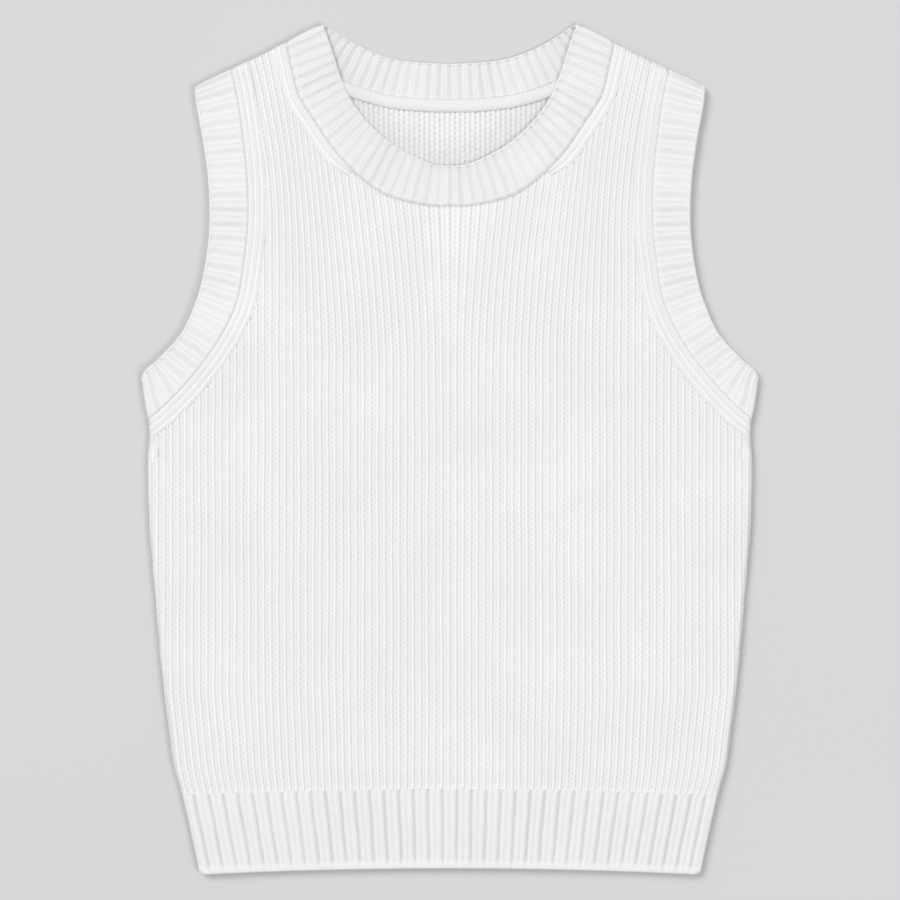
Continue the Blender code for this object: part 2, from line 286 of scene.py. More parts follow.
def distance_to(x: Array, y: Array, line: Array) -> Array:
    """Level distance from each place to the nearest point of a finely divided line.

    Args:
        x: The places' x.
        y: The places' y.
        line: Level points of the line.

    Returns:
        One distance for each place, in the shape of x.
    """
    places = np.stack([x.ravel(), y.ravel()], axis=1)
    nearest = np.empty(len(places))
    for first in range(0, len(places), PLACES_AT_ONCE):
        batch = slice(first, first + PLACES_AT_ONCE)
        apart = places[batch, None] - line[None]
        nearest[batch] = np.sqrt((apart**2).sum(2).min(1))
    return nearest.reshape(x.shape)


def painted_shadow_under_collar(x: Array, y: Array) -> Array:
    """Extra painted shadow on the inside of the back, close to the front neck rib's free edge."""
    edge = both_halves(NECK_RUNS[Layer.FRONT][:, 2:])
    return COLLAR_SHADE * ease(1 - distance_to(x, y, edge) / COLLAR_SHADE_REACH)


# ---------------------------------------------------------------- the folded shell

@dataclass(frozen=True)
class FoldedShell:
    """The flat vest's two layers and the folds that join them."""

    wall: float = 2.8 * MM
    fold_radius: float = 3.3 * MM
    rise: float = 2.0 * MM
    rise_reach: float = 55 * MM
    hem_seam: float = -0.2430
    hem_edge: float = -0.2999
    hem_bow: float = 4.6 * MM
    hem_corner: float = 4.5 * MM
    underarm: float = 0.0205
    shoulder_tilt: float = math.radians(27)
    # Above this height the nearer fold is the shoulder's.
    shoulder_above: float = 0.200
    least_half_gap: float = 0.1 * MM
    # The front rests on the back along the neck, so its rise dies away there.
    neck_rise_reach: float = 42 * MM

    @property
    def spare(self) -> float:
        """How much further cloth reaches unrolled than rolled round a fold."""
        return self.fold_radius * (math.pi / 2 - 1)

    def side(self, height: Array) -> Array:
        """Distance of the side fold from the centre line."""
        return smooth(height, column(SIDE, "height"), column(SIDE, "half_width"))

    def shoulder(self, half_width: Array) -> Array:
        """Height of the shoulder fold."""
        return smooth(half_width, column(SHOULDER, "half_width"), column(SHOULDER, "height"))

    def side_line(self, low: float, count: int) -> Array:
        """Unrolled points up a side, from a height to the underarm."""
        heights = np.linspace(low, self.underarm, count)
        return np.stack([self.side(heights) + self.spare, heights], axis=1)

    def shoulder_line(self, inner: float, outer: float) -> Array:
        """Unrolled points along a shoulder, between two distances from the centre line."""
        spans = np.linspace(inner, outer, 60)
        over = self.spare / math.cos(self.shoulder_tilt)
        return np.stack([spans, self.shoulder(spans) + over], axis=1)

    def outline(self, height: Array) -> Array:
        """Distance of the outline from the centre line, on the side fold or the armhole's edge."""
        armhole = smooth(height, column(ARMHOLE, "edge_y"), column(ARMHOLE, "edge_x"))
        return np.where(height <= ARMHOLE[0].edge_y, self.side(height), armhole)

    def fold(self, x: Array, y: Array) -> tuple[Array, Array, Array]:
        """How far places on the +X half lie inside the nearer fold.

        Args:
            x: Distance from the centre line.
            y: Height.

        Returns:
            The depth inside the fold, and the x and y of the level way out to it.
        """
        at_shoulder = y > self.shoulder_above
        tilt = self.shoulder_tilt
        over = (self.shoulder(x) - y) * math.cos(tilt)
        depth = np.where(at_shoulder, over, self.side(y) - x)
        return depth, np.where(at_shoulder, math.sin(tilt), 1.0), at_shoulder * math.cos(tilt)

    def rolled(self, x: Array, y: Array) -> tuple[Array, Array]:
        """Unrolled places on the +X half, rolled round the nearer fold."""
        depth, out_x, out_y = self.fold(x, y)
        turn = np.clip((depth + self.spare) / self.fold_radius, 0.0, math.pi / 2)
        level = self.fold_radius * (1 - np.cos(turn))
        shift = np.where(turn < math.pi / 2, depth - level, 0.0)
        return x + out_x * shift, y + out_y * shift

    def air(self, x: Array, y: Array) -> Array:
        """Share of the full rise that a place has, 0 at the folds and free edges."""
        over = (self.shoulder(x) - y) * math.cos(self.shoulder_tilt)
        share = ease((self.outline(y) - x) / self.rise_reach)
        share = share * ease(over / self.rise_reach)
        neck = np.interp(x, column(FRONT_NECK, "edge_x"), column(FRONT_NECK, "edge_y"))
        share = share * ease((neck - y) / self.neck_rise_reach)
        return share * ease((y - self.hem_edge) / self.rise_reach)

    def creased(self, x: Array, y: Array, layer: Layer) -> Array:
        """Height of the ridges and troughs of one layer."""
        height = np.zeros_like(x)
        for crease in CREASES[layer]:
            heading = math.radians(crease.heading)
            right, up = x - crease.x, y - crease.y
            along = right * math.cos(heading) + up * math.sin(heading)
            across = up * math.cos(heading) - right * math.sin(heading)
            spread = (along / crease.length) ** 2 + (across / crease.width) ** 2
            height += crease.height * np.exp(-2 * spread)
        return height

    def place(self, x: Array, y: Array, up: Array, lift: Array) -> Array:
        """Put unrolled places on a layer of the shell.

        Args:
            x: Unrolled x, of either sign.
            y: Unrolled height.
            up: 1 for the front layer and -1 for the back one, for each place or for all.
            lift: Distance out of the outer skin.

        Returns:
            The points, with a last axis of 3.
        """
        sign = np.where(x < 0, -1.0, 1.0)
        in_x, in_y = self.rolled(np.abs(x), y)
        depth, out_x, out_y = self.fold(in_x, in_y)
        lean = np.clip(1 - depth / self.fold_radius, 0.0, 1.0)
        tall = np.sqrt(1 - lean**2)
        from_middle = np.maximum(tall * (self.fold_radius + lift), tall * self.least_half_gap)
        air = self.air(in_x, in_y)
        signed = in_x * sign
        front = air * (self.rise + self.creased(signed, in_y, Layer.FRONT))
        back = tall * self.creased(signed, in_y, Layer.BACK)
        z = self.fold_radius + up * from_middle + np.where(up > 0, front, back)
        level_x = (in_x + out_x * lean * lift) * sign
        return np.stack([level_x, in_y + out_y * lean * lift, z], axis=-1)

    def opened(self, table: list) -> Array:
        """A finely divided run of unrolled sections through a table.

        Args:
            table: Sections whose last row, and first if it lies on a fold, end on the fold.

        Returns:
            Rows of seam x, seam y, edge x and edge y.
        """
        rows = np.array(table)
        for at in (0, -1):
            for first in (0, 2):
                x, y = rows[at, first:first + 2]
                depth, out_x, out_y = self.fold(x, y)
                if depth < self.fold_radius / 2:
                    rows[at, first:first + 2] = x + out_x * self.spare, y + out_y * self.spare
        places = np.arange(float(len(rows)))
        fine = np.linspace(0.0, places[-1], SECTIONS_IN_A_TABLE)
        return np.stack([smooth(fine, places, rows[:, at]) for at in range(4)], axis=1)


SHELL = FoldedShell()
ARMHOLE_RUN = SHELL.opened(ARMHOLE)
NECK_RUNS = {Layer.FRONT: SHELL.opened(FRONT_NECK), Layer.BACK: SHELL.opened(BACK_NECK)}


# ---------------------------------------------------------------- finishes

class NodeTree:
    """Adds shader nodes to a material and links them."""

    def __init__(self, material: bpy.types.Material) -> None:
        """Start from the material's own Principled shader."""
        material.use_nodes = True
        self.tree = material.node_tree
        self.shader = self.tree.nodes["Principled BSDF"]

    def add(self, kind: str, settings: dict, **inputs) -> bpy.types.Node:
        """Add a node.

        Args:
            kind: The node's type, without its ShaderNode prefix.
            settings: Properties of the node.
            **inputs: Values or sockets for its inputs, by name with _ for a space.

        Returns:
            The node.
        """
        node = self.tree.nodes.new("ShaderNode" + kind)
        for name, value in settings.items():
            setattr(node, name, value)
        for name, value in inputs.items():
            self.give(node.inputs[name.replace("_", " ")], value)
        return node

    def give(self, socket: bpy.types.NodeSocket, value: object) -> None:
        """Link an output to a socket, or set the socket's own value."""
        if isinstance(value, bpy.types.NodeSocket):
            self.tree.links.new(value, socket)
        else:
            socket.default_value = value

    def math(self, operation: str, first: object, second: object = 0.0) -> bpy.types.NodeSocket:
        """A Math node's result."""
        node = self.tree.nodes.new("ShaderNodeMath")
        node.operation = operation
        self.give(node.inputs[0], first)
        self.give(node.inputs[1], second)
        return node.outputs[0]


@dataclass(frozen=True)
class YarnFinish:
    """Soft white yarn: its colour, the painted shade down in its stitches, and its twist and fuzz.
    """

    name: str
    colour: tuple = (0.86, 0.86, 0.855)
    # Colour of the painted shade, and how strongly each point's painted shade mixes it in.
    shade: tuple = (0.62, 0.62, 0.625)
    shading: float = 0.70
    roughness: float = 0.88
    weave: Weave = Weave.LEGS
    ply_length: float = 1.15
    ply_slope: float = 0.9
    ply_depth: float = 0.10 * MM
    fuzz_size: float = 0.55 * MM
    fuzz_depth: float = 0.10 * MM
    patch_size: float = 60 * MM
    # How far the plies wander, how much the tone changes at random with patches and fibres,
    # and how much painted shade darkens the grooves between the plies.
    ply_wander: float = 0.9
    wander_scale: float = 0.9
    patch_change: float = 0.24
    fibre_change: float = 0.30
    ply_painted_shade: float = 0.10
    specular: float = 0.25
    sheen: float = 0.22
    sheen_roughness: float = 0.55

    def material(self) -> bpy.types.Material:
        """Build the finish's material.

        Returns:
            A material whose bump reads the UV map in millimetres, along and across the yarn.
        """
        material = bpy.data.materials.new(self.name)
        nodes = NodeTree(material)
        where = nodes.add("TexCoord", {}).outputs["Object"]
        patch = nodes.add("TexNoise", {}, Vector=where, Scale=1 / self.patch_size, Detail=2.0)
        fuzz = nodes.add("TexNoise", {}, Vector=where, Scale=1 / self.fuzz_size, Detail=4.0)
        ply = self.ply_height(nodes)
        shader = nodes.shader
        nodes.give(shader.inputs["Base Color"], self.shaded(nodes, patch, fuzz, ply))
        nodes.give(shader.inputs["Roughness"], self.roughness)
        nodes.give(shader.inputs["Specular IOR Level"], self.specular)
        nodes.give(shader.inputs["Sheen Weight"], self.sheen)
        nodes.give(shader.inputs["Sheen Roughness"], self.sheen_roughness)
        soft = nodes.add("Bump", {}, Height=fuzz.outputs["Fac"], Distance=self.fuzz_depth)
        twist = nodes.add("Bump", {}, Height=ply, Distance=self.ply_depth, Normal=soft.outputs[0])
        nodes.give(shader.inputs["Normal"], twist.outputs[0])
        return material

    def ply_height(self, nodes: NodeTree) -> bpy.types.NodeSocket:
        """Height of the yarn's plies, which run slantwise round the yarn."""
        yarn = nodes.add("UVMap", {"uv_map": KnitMesh.YARN_MAP}).outputs[0]
        split = nodes.add("SeparateXYZ", {}, Vector=yarn)
        noise = nodes.add("TexNoise", {}, Vector=yarn, Scale=self.wander_scale, Detail=2.0)
        wander = nodes.math("MULTIPLY", noise.outputs["Fac"], self.ply_wander)
        slope = self.ply_slope if self.weave is Weave.LEGS else 1 / self.ply_slope
        leaning = nodes.math("MULTIPLY", split.outputs["X"], slope)
        turn = nodes.math("ADD", nodes.math("ADD", split.outputs["Y"], leaning), wander)
        wave = nodes.math("SINE", nodes.math("MULTIPLY", turn, 2 * math.pi / self.ply_length))
        return nodes.math("ADD", nodes.math("MULTIPLY", wave, 0.5), 0.5)

    def shaded(
        self,
        nodes: NodeTree,
        patch: bpy.types.Node,
        fuzz: bpy.types.Node,
        ply: bpy.types.NodeSocket,
    ) -> bpy.types.NodeSocket:
        """Colour of the yarn, with painted shade down between the stitches.

        Args:
            nodes: The material's tree.
            patch: Noise of the slow changes in tone.
            fuzz: Noise of the fibres.
            ply: Height of the plies.

        Returns:
            The colour's socket.
        """
        # Each point's painted shade mixes in the shade colour.
        hollow = nodes.add("Attribute", {"attribute_name": KnitMesh.PAINTED_SHADE}).outputs["Fac"]
        total = nodes.math("MULTIPLY", hollow, self.shading)
        # Random tone from patches and fibres, and painted shade in the grooves between the plies.
        changes = (
            (fuzz.outputs["Fac"], self.fibre_change),
            (patch.outputs["Fac"], self.patch_change),
            (ply, self.ply_painted_shade),
        )
        for height, change in changes:
            low = nodes.math("SUBTRACT", 0.5, height)
            total = nodes.math("ADD", total, nodes.math("MULTIPLY", low, change))
        mix = nodes.add("Mix", {"data_type": "RGBA"})
        mix.clamp_factor = True
        nodes.give(mix.inputs[0], total)
        nodes.give(mix.inputs[6], (*self.colour, 1.0))
        nodes.give(mix.inputs[7], (*self.shade, 1.0))
        return mix.outputs[2]


@dataclass(frozen=True)
class FloorFinish:
    """Matt pale paper under the vest."""

    name: str = "studio_floor"
    light: tuple = (0.60, 0.605, 0.61, 1.0)
    dark: tuple = (0.57, 0.575, 0.58, 1.0)
    grain_size: float = 0.35

    def material(self) -> bpy.types.Material:
        """Build the floor's material."""
        material = bpy.data.materials.new(self.name)
        nodes = NodeTree(material)
        where = nodes.add("TexCoord", {}).outputs["Object"]
        noise = nodes.add("TexNoise", {}, Vector=where, Scale=1 / self.grain_size, Detail=1.0)
        mix = nodes.add("Mix", {"data_type": "RGBA"})
        nodes.give(mix.inputs[0], noise.outputs["Fac"])
        nodes.give(mix.inputs[6], self.light)
        nodes.give(mix.inputs[7], self.dark)
        nodes.give(nodes.shader.inputs["Base Color"], mix.outputs[2])
        nodes.give(nodes.shader.inputs["Roughness"], 0.9)
        return material


RIB_WHITE = (0.80, 0.80, 0.795)
BODY_YARN = YarnFinish("stockinette_yarn", colour=(0.91, 0.91, 0.905), shading=0.95)
BACK_YARN = YarnFinish("stockinette_back_yarn", colour=(0.91, 0.91, 0.905), shading=0.95)
PURL_YARN = YarnFinish("purl_side_yarn", colour=(0.85, 0.85, 0.845), shading=1.1, ply_slope=0.5)
HEM_YARN = YarnFinish("hem_rib_yarn", colour=RIB_WHITE, shading=1.1, weave=Weave.CORD)
NECK_YARN = YarnFinish("neck_rib_yarn", colour=RIB_WHITE, shading=0.8, weave=Weave.CORD)
ARM_YARN = YarnFinish("armhole_rib_yarn", colour=RIB_WHITE, weave=Weave.CORD)
SEAM_YARN = YarnFinish("seam_yarn", colour=RIB_WHITE, weave=Weave.CORD)


# ---------------------------------------------------------------- meshes of stitches

@dataclass
class Grid:
    """Rows and columns of points, made into quads.

    yarn holds millimetres across and along the yarn, with one more column than points where the
    columns close into a ring, and one more row where the rows close into a tube. The next field
    holds the painted shade of each point, mostly set by how sunk it is, keep marks the quads to
    keep, flipped turns the faces over, and finish is the finish's number in its piece.
    """

    points: Array
    yarn: Array
    # Painted shade of each point, which darkens its colour.
    hollow: Array
    keep: Array | None = None
    ring: bool = False
    tube: bool = False
    flipped: bool = False
    finish: int = 0

    def quads(self) -> tuple[Array, Array]:
        """The quads that are kept.

        Returns:
            For each quad its four corners' point numbers, and its corners' yarn places.
        """
        rows, columns = self.hollow.shape
        low, left = np.meshgrid(
            np.arange(rows - 1 + self.tube), np.arange(columns - 1 + self.ring), indexing="ij"
        )
        if self.keep is not None:
            low, left = low[self.keep], left[self.keep]
        low, left = low.ravel(), left.ravel()
        corners = [(low, left), (low, left + 1), (low + 1, left + 1), (low + 1, left)]
        if self.flipped:
            corners = corners[::-1]
        numbers = [(row % rows) * columns + at % columns for row, at in corners]
        yarn = [self.yarn[row, at] for row, at in corners]
        return np.stack(numbers, axis=1), np.stack(yarn, axis=1)

    def mirrored(self) -> "Grid":
        """The same stitches on the other side of the centre line."""
        points = self.points * np.array([-1.0, 1.0, 1.0])
        return replace(self, points=points, flipped=not self.flipped)


@dataclass
class KnitMesh:
    """A piece of knitting, joined from grids."""

    YARN_MAP = "yarn"
    # Name of the point attribute that holds the painted shade.
    PAINTED_SHADE = "hollow"
    WELD = 0.02 * MM

    name: str
    grids: list[Grid]
    finishes: list[YarnFinish]
    welded: bool = False

    def make(self, slot: str, nodes: tuple[str, ...]) -> bpy.types.Object:
        """Build the object and tie it to the frame.

        Args:
            slot: Name of a material slot, which is only logged.
            nodes: The solids that it stands for.

        Returns:
            The object, riding on the vest's body.
        """
        mesh = self.filled()
        if self.welded:
            self.weld(mesh)
        for finish in self.finishes:
            mesh.materials.append(finish.material())
        item = bpy.data.objects.new(self.name, mesh)
        bpy.context.scene.collection.objects.link(item)
        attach(item, BODY)
        if nodes:
            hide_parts(*nodes)
        log.info("%s: %d faces for %s", self.name, len(mesh.polygons), nodes or slot)
        return item

    def filled(self) -> bpy.types.Mesh:
        """A mesh with every grid's quads, yarn places and painted shade."""
        faces, yarn, finish, first = [], [], [], 0
        for grid in self.grids:
            corners, places = grid.quads()
            faces.append(corners + first)
            yarn.append(places)
            finish.append(np.full(len(corners), grid.finish))
            first += grid.hollow.size
        faces, yarn, finish = (np.concatenate(part) for part in (faces, yarn, finish))
        points = np.concatenate([grid.points.reshape(-1, 3) for grid in self.grids])
        hollow = np.concatenate([grid.hollow.ravel() for grid in self.grids])
        used, faces = np.unique(faces, return_inverse=True)
        mesh = bpy.data.meshes.new(self.name)
        mesh.vertices.add(len(used))
        mesh.vertices.foreach_set("co", points[used].ravel().astype(np.float32))
        mesh.loops.add(faces.size)
        mesh.loops.foreach_set("vertex_index", faces.ravel().astype(np.int32))
        mesh.polygons.add(len(finish))
        mesh.polygons.foreach_set("loop_start", np.arange(0, faces.size, 4, dtype=np.int32))
        mesh.polygons.foreach_set("material_index", finish.astype(np.int32))
        mesh.update(calc_edges=True)
        uv = mesh.uv_layers.new(name=self.YARN_MAP)
        uv.data.foreach_set("uv", yarn.ravel().astype(np.float32))
        shade = mesh.attributes.new(self.PAINTED_SHADE, "FLOAT", "POINT")
        shade.data.foreach_set("value", np.clip(hollow[used], 0.0, 1.0).astype(np.float32))
        mesh.shade_smooth()
        return mesh

    def weld(self, mesh: bpy.types.Mesh) -> None:
        """Join points that trimming has brought together, and drop the slivers that leaves."""
        shape = bmesh.new()
        shape.from_mesh(mesh)
        bmesh.ops.remove_doubles(shape, verts=shape.verts, dist=self.WELD)
        slivers = [face for face in shape.faces if face.calc_area() < self.WELD**2]
        bmesh.ops.delete(shape, geom=slivers, context="FACES")
        shape.to_mesh(mesh)
        shape.free()


# ---------------------------------------------------------------- stitches

@dataclass(frozen=True)
class Stockinette:
    """Knit side: columns of Vs. A place in a wale runs from 0 to 1, with 0 between two wales."""

    wale: float = 5.087 * MM
    row: float = 3.86 * MM
    climb: float = 0.80
    columns: tuple = (0.0, 0.25, 0.5, 0.75)
    between_wales: float = 0.78 * MM
    between_legs: float = 0.50 * MM
    between_rows: float = 0.26 * MM

    def spread(self, across: Array) -> Array:
        """How far places lie from the middle of their wale, from 0 to 1."""
        return np.abs(2 * np.mod(across, 1.0) - 1)

    def climbed(self, across: Array) -> Array:
        """Rows by which a leg has climbed at places across its wale."""
        return self.climb * self.spread(across)

    def depth(self, across: Array, phase: Array) -> Array:
        """Depth below the crest of a leg.

        Args:
            across: Wales from the centre line.
            phase: Rows, measured along the legs, with a whole number between two rows.

        Returns:
            The depth in metres.
        """
        side_to_side = np.interp(
            self.spread(across), (0.0, 0.5, 1.0), (self.between_legs, 0.0, self.between_wales)
        )
        return side_to_side + self.between_rows * row_gap(phase)

    def hollow(self, across: Array, phase: Array) -> Array:
        """Painted shade by how sunk a place is, from 0 on a crest to 1 between wales and rows."""
        return self.depth(across, phase) / (self.between_wales + self.between_rows)

    def lanes(self, first: int, last: int) -> Array:
        """Places of all columns from one wale to another."""
        wales = np.arange(first, last)[:, None] + np.array(self.columns)
        return np.append(wales.ravel(), float(last))


@dataclass(frozen=True)
class PurlSide:
    """Reverse of the knit side: columns of small beads, set half a row apart by turns."""

    bead: float = 3.64 * MM
    row: float = 3.86 * MM
    columns: tuple = (0.0, 0.3, 0.7)
    between_beads: float = 0.95 * MM
    between_rows: float = 0.40 * MM

    def depth(self, across: Array, phase: Array) -> Array:
        """Depth below the crest of a bead, for columns and rows of beads."""
        offset = np.where(np.mod(np.floor(across + TINY), 2) > 0, 0.5, 0.0)
        beside = np.interp(np.mod(across, 1.0), (*self.columns, 1.0), (1.0, 0.0, 0.0, 1.0))
        between = row_gap(phase + offset)
        return self.between_beads * beside * (0.7 + 0.3 * between) + self.between_rows * between

    def lanes(self, first: int, last: int) -> Array:
        """Places of all columns from one column of beads to another."""
        beads = np.arange(first, last)[:, None] + np.array(self.columns)
        return np.append(beads.ravel(), float(last))


@dataclass(frozen=True)
class TwoByOneRib:
    """Rib of two knit wales and a sunk purl wale. A place in a rib is 0 in the purl wale."""

    pitch: float
    row: float
    groove: float = 1.45 * MM
    middle: float = 0.60 * MM
    between_rows: float = 0.15 * MM
    purl_bump: float = 0.50 * MM
    climb: float = 0.7
    # From the middle of the purl wale to the middle of the knit ones. The third is the groove's
    # edge, and a leg of the Vs starts at the fifth.
    places: tuple = (0.0, 0.055, 0.11, 0.20, 0.305, 0.41, 0.5)

    @property
    def columns(self) -> tuple:
        """Places of the columns across one rib."""
        return (*self.places, *(1 - place for place in self.places[-2:0:-1]))

    def fold_half(self, across: Array) -> Array:
        """Distance of places from the middle of their purl wale, from 0 to 0.5."""
        return 0.5 - np.abs(np.mod(across, 1.0) - 0.5)

    def in_groove(self, across: Array) -> Array:
        """How near places lie to the middle of their purl wale, 0 outside its groove."""
        return np.clip(1 - self.fold_half(across) / self.places[2], 0.0, 1.0)

    def climbed(self, across: Array) -> Array:
        """Rows by which a leg has climbed at places across a rib."""
        from_lane = np.abs(self.fold_half(across) - self.places[4])
        return self.climb * np.clip(from_lane / (0.5 - self.places[4]), 0.0, 1.0)

    def depth(self, across: Array, phase: Array) -> Array:
        """Depth below the crest of a knit wale.

        Args:
            across: Ribs from the start.
            phase: Rows, with a whole number between two rows.

        Returns:
            The depth in metres.
        """
        half = self.fold_half(across)
        crest = 0.10 * self.middle
        profile = (
            self.groove, 0.90 * self.groove, 0.34 * self.groove, 0.0, crest * 2, crest, self.middle
        )
        sunk = np.interp(half, self.places, profile)
        between = row_gap(phase)
        in_groove = self.in_groove(across)
        bump = self.purl_bump * in_groove * (1 - between)
        return sunk + self.between_rows * between * (1 - in_groove) - bump


# ---------------------------------------------------------------- front and back

@dataclass
class BodyPanel:
    """Front or back: stockinette with narrow fashioned strips along its armholes and neck."""

    layer: Layer
    stitch: Stockinette = field(default_factory=Stockinette)
    crest_lift: float = 0.30 * MM
    arm_strip: float = 13.5 * MM
    arm_strip_wales: int = 3
    neck_strip: float = 10.0 * MM
    neck_strip_wales: int = 2
    neck_strip_from: float = 0.052
    neck_strip_full: float = 0.084
    # Where it is narrower than these, a strip isn't knitted, and no panel is cut away for it.
    least_strip: float = 2.0 * MM
    least_cut: float = 5.5 * MM
    # Cloth runs on by a tuck under the strips and the hem rib.
    tuck: float = 1.6 * MM
    tuck_depth: float = 0.55 * MM
    strip_groove: float = 0.05 * MM
    strip_edge: float = 0.40 * MM
    strip_relief: float = 0.62
    # Painted shade laid evenly over each strip.
    strip_painted_shade: float = 0.13
    # A strip's line runs on over the shoulder fold, and the strip is trimmed there.
    strip_over: float = 11 * MM
    # A strip rises out of the panel over its first stretch.
    strip_start: float = 1.2 * MM
    strip_rise: float = 7 * MM
    seam_depth: float = 1.1 * MM
    arm_seam_depth: float = 0.45 * MM
    seam_reach: float = 2.6 * MM
    hem_tuck: float = 1.4 * MM
    hem_depth: float = 0.9 * MM
    hem_flattening: float = 0.6
    hem_reach: float = 3.0 * MM
    above_shoulder: float = 6 * MM
    # The heading at either end of a seam is read over this many of its points.
    heading_points: int = 4
    # How the wales fan out below the neck, lean out towards the shoulders and draw in at the hem.
    fan_from: float = 0.0639
    fan_height: float = 0.1057
    fan_power: float = 1.6
    fan_shift: float = 8.2 * MM
    fan_core: float = 14.3 * MM
    fan_reach: float = 64.3 * MM
    lean_from: float = 0.1496
    lean_height: float = 0.0714
    lean_shift: float = 5.36 * MM
    lean_core: float = 78.6 * MM
    lean_reach: float = 50 * MM
    taper_from: float = -0.172
    most_bow: float = 1.2
    # Below the underarm the strip bends down beside the side fold, widens and runs out.
    bend_radius: float = 22 * MM
    bend_spread: float = 0.33
    bend_points: int = 24
    run_down: float = 9 * MM
    run_points: int = 40
    # The side and shoulder folds are followed a little past the panel's own ends.
    past_hem: float = 20 * MM
    past_shoulder: float = 12 * MM
    fold_points: int = 160
    uneven: float = 0.09 * MM
    # Each wave of the wales' wander has a size, and its length in rows, in wales and its start.
    wobble: float = 0.132 * MM
    waves: tuple = ((1.0, 7.1, 3.3, 0.0), (0.7, 3.7, -1.9, 2.0))
    seed: int = 0

    def __post_init__(self) -> None:
        """Work out the outline of the panel and of its plain middle."""
        neck = NECK_RUNS[self.layer]
        self.arm_seam = ARMHOLE_RUN[:, :2]
        self.neck_seam = neck[:, :2]
        self.fold = SHELL.side_line(SHELL.hem_seam - self.past_hem, self.fold_points)
        outer = SHOULDER[-1].half_width + self.past_shoulder
        self.shoulder = SHELL.shoulder_line(self.neck_seam[-1, 0], outer)
        self.arm_inner = self.arm_line(self.arm_strip)
        self.neck_inner = self.neck_line(0.0)

    def arm_line(self, width: float, further: float = 0.0) -> Array:
        """Line inside the armhole seam, bent down beside the side fold below the underarm.

        Args:
            width: Distance inside the seam.
            further: How much further down it runs.

        Returns:
            Level points of the line, from its lower end up to the shoulder.
        """
        start = self.arm_seam[0]
        heading = self.arm_seam[self.heading_points] - start
        lean = math.atan2(-heading[0], heading[1])
        turns = np.linspace(lean, 0.0, self.bend_points)
        right = self.bend_radius * (np.cos(turns) - math.cos(lean))
        down = self.bend_radius * (math.sin(lean) - np.sin(turns))
        bend = start + np.stack([right, -down], axis=1)
        straight = np.linspace(self.run_down + further, 0.5 * MM, self.run_points)
        drop = bend[-1] - straight[:, None] * np.array([0.0, 1.0])
        line = np.concatenate([drop, bend[:0:-1], self.arm_seam])
        return line + left_normals(line) * width * self.arm_spread(line)[:, None]

    def arm_spread(self, line: Array) -> Array:
        """Width of the armhole strip as a share of its width beside the armhole."""
        below = (self.arm_seam[0, 1] - line[:, 1]) / self.bend_radius
        return 1 + self.bend_spread * ease(below)

    def neck_line(self, under: float) -> Array:
        """Lower line of the neck strip, or a line some way under the strip."""
        wide = self.neck_width()
        wide = np.where(wide > self.least_cut, wide - under, 0.0)
        return self.neck_seam - left_normals(self.neck_seam) * wide[:, None]

    def neck_width(self) -> Array:
        """Width of the neck strip along the neck seam, 0 below where it starts."""
        reach = self.neck_strip_full - self.neck_strip_from
        return self.neck_strip * ease((self.neck_seam[:, 0] - self.neck_strip_from) / reach)

    def half_width(self, y: Array, arm: Array) -> Array:
        """Width of the +X half at each height, out to the side fold or a line by the armhole."""
        side = np.interp(y, self.fold[:, 1], self.fold[:, 0])
        beside = np.interp(y, arm[:, 1], arm[:, 0])
        return np.minimum(side, np.where(y < arm[0, 1], side, beside))

    def top(self, x: Array, neck: Array) -> Array:
        """Height of the neck or shoulder edge at each distance from the centre line."""
        rising = np.maximum.accumulate(neck[:, 0] + np.arange(len(neck)) * TINY)
        shoulder = np.interp(x, self.shoulder[:, 0], self.shoulder[:, 1])
        return np.where(x < rising[-1], np.interp(x, rising, neck[:, 1]), shoulder)

    def bottom(self, x: Array) -> Array:
        """Height of the hem seam."""
        return SHELL.hem_seam - SHELL.hem_bow * (x / SHELL.side(SHELL.hem_seam)) ** 2

    def warped(self, x: Array, y: Array) -> tuple[Array, Array]:
        """Straight wales and rows on the +X half, moved to where they run in the vest."""
        up = np.clip((y - self.fan_from) / self.fan_height, 0.0, None) ** self.fan_power
        fan = self.fan_shift * np.tanh(x / self.fan_core) * up
        fan = fan * (1 - ease((x - self.fan_reach) / self.fan_reach))
        rise = np.clip((y - self.lean_from) / self.lean_height, 0.0, None) ** 2
        lean = self.lean_shift * rise * ease((x - self.lean_core) / self.lean_reach)
        full = float(SHELL.side(self.taper_from)) + SHELL.spare
        drawn = np.where(y < self.taper_from, full - SHELL.side(y) - SHELL.spare, 0.0)
        taper = np.clip(drawn, 0.0, None) * (x / full) ** 2
        share = (SHELL.underarm - y) / (SHELL.underarm - SHELL.hem_seam)
        bow = SHELL.hem_bow * np.clip(share, 0.0, self.most_bow) ** 2 * (x / full) ** 2
        return x + fan + lean - taper, y - bow

    def trimmed(
        self, x: Array, y: Array, arm: Array, neck: Array, below: float
    ) -> tuple[Array, Array, Array]:
        """Cut a grid on the +X half to an outline.

        Args:
            x: Unrolled x of the grid's points.
            y: Their heights.
            arm: Line by the armhole.
            neck: Line by the neck.
            below: How far cloth reaches below the hem seam.

        Returns:
            The points' x and y with those outside moved onto the outline, and the quads that had
            any corner inside.
        """
        half, top = self.half_width(y, arm), self.top(x, neck)
        inside = (x <= half) & (y <= top) & (y >= self.bottom(x) - below)
        cut_x = np.minimum(x, half)
        cut_y = np.clip(y, self.bottom(cut_x) - below, self.top(cut_x, neck))
        return cut_x, cut_y, touching(inside)

    def lifted(self, depth: Array, sunk: Array) -> Array:
        """Lift of stitches of some depth, sunk further beside a seam."""
        crest = self.crest_lift if self.layer is Layer.FRONT else 0.0
        return crest - depth - sunk

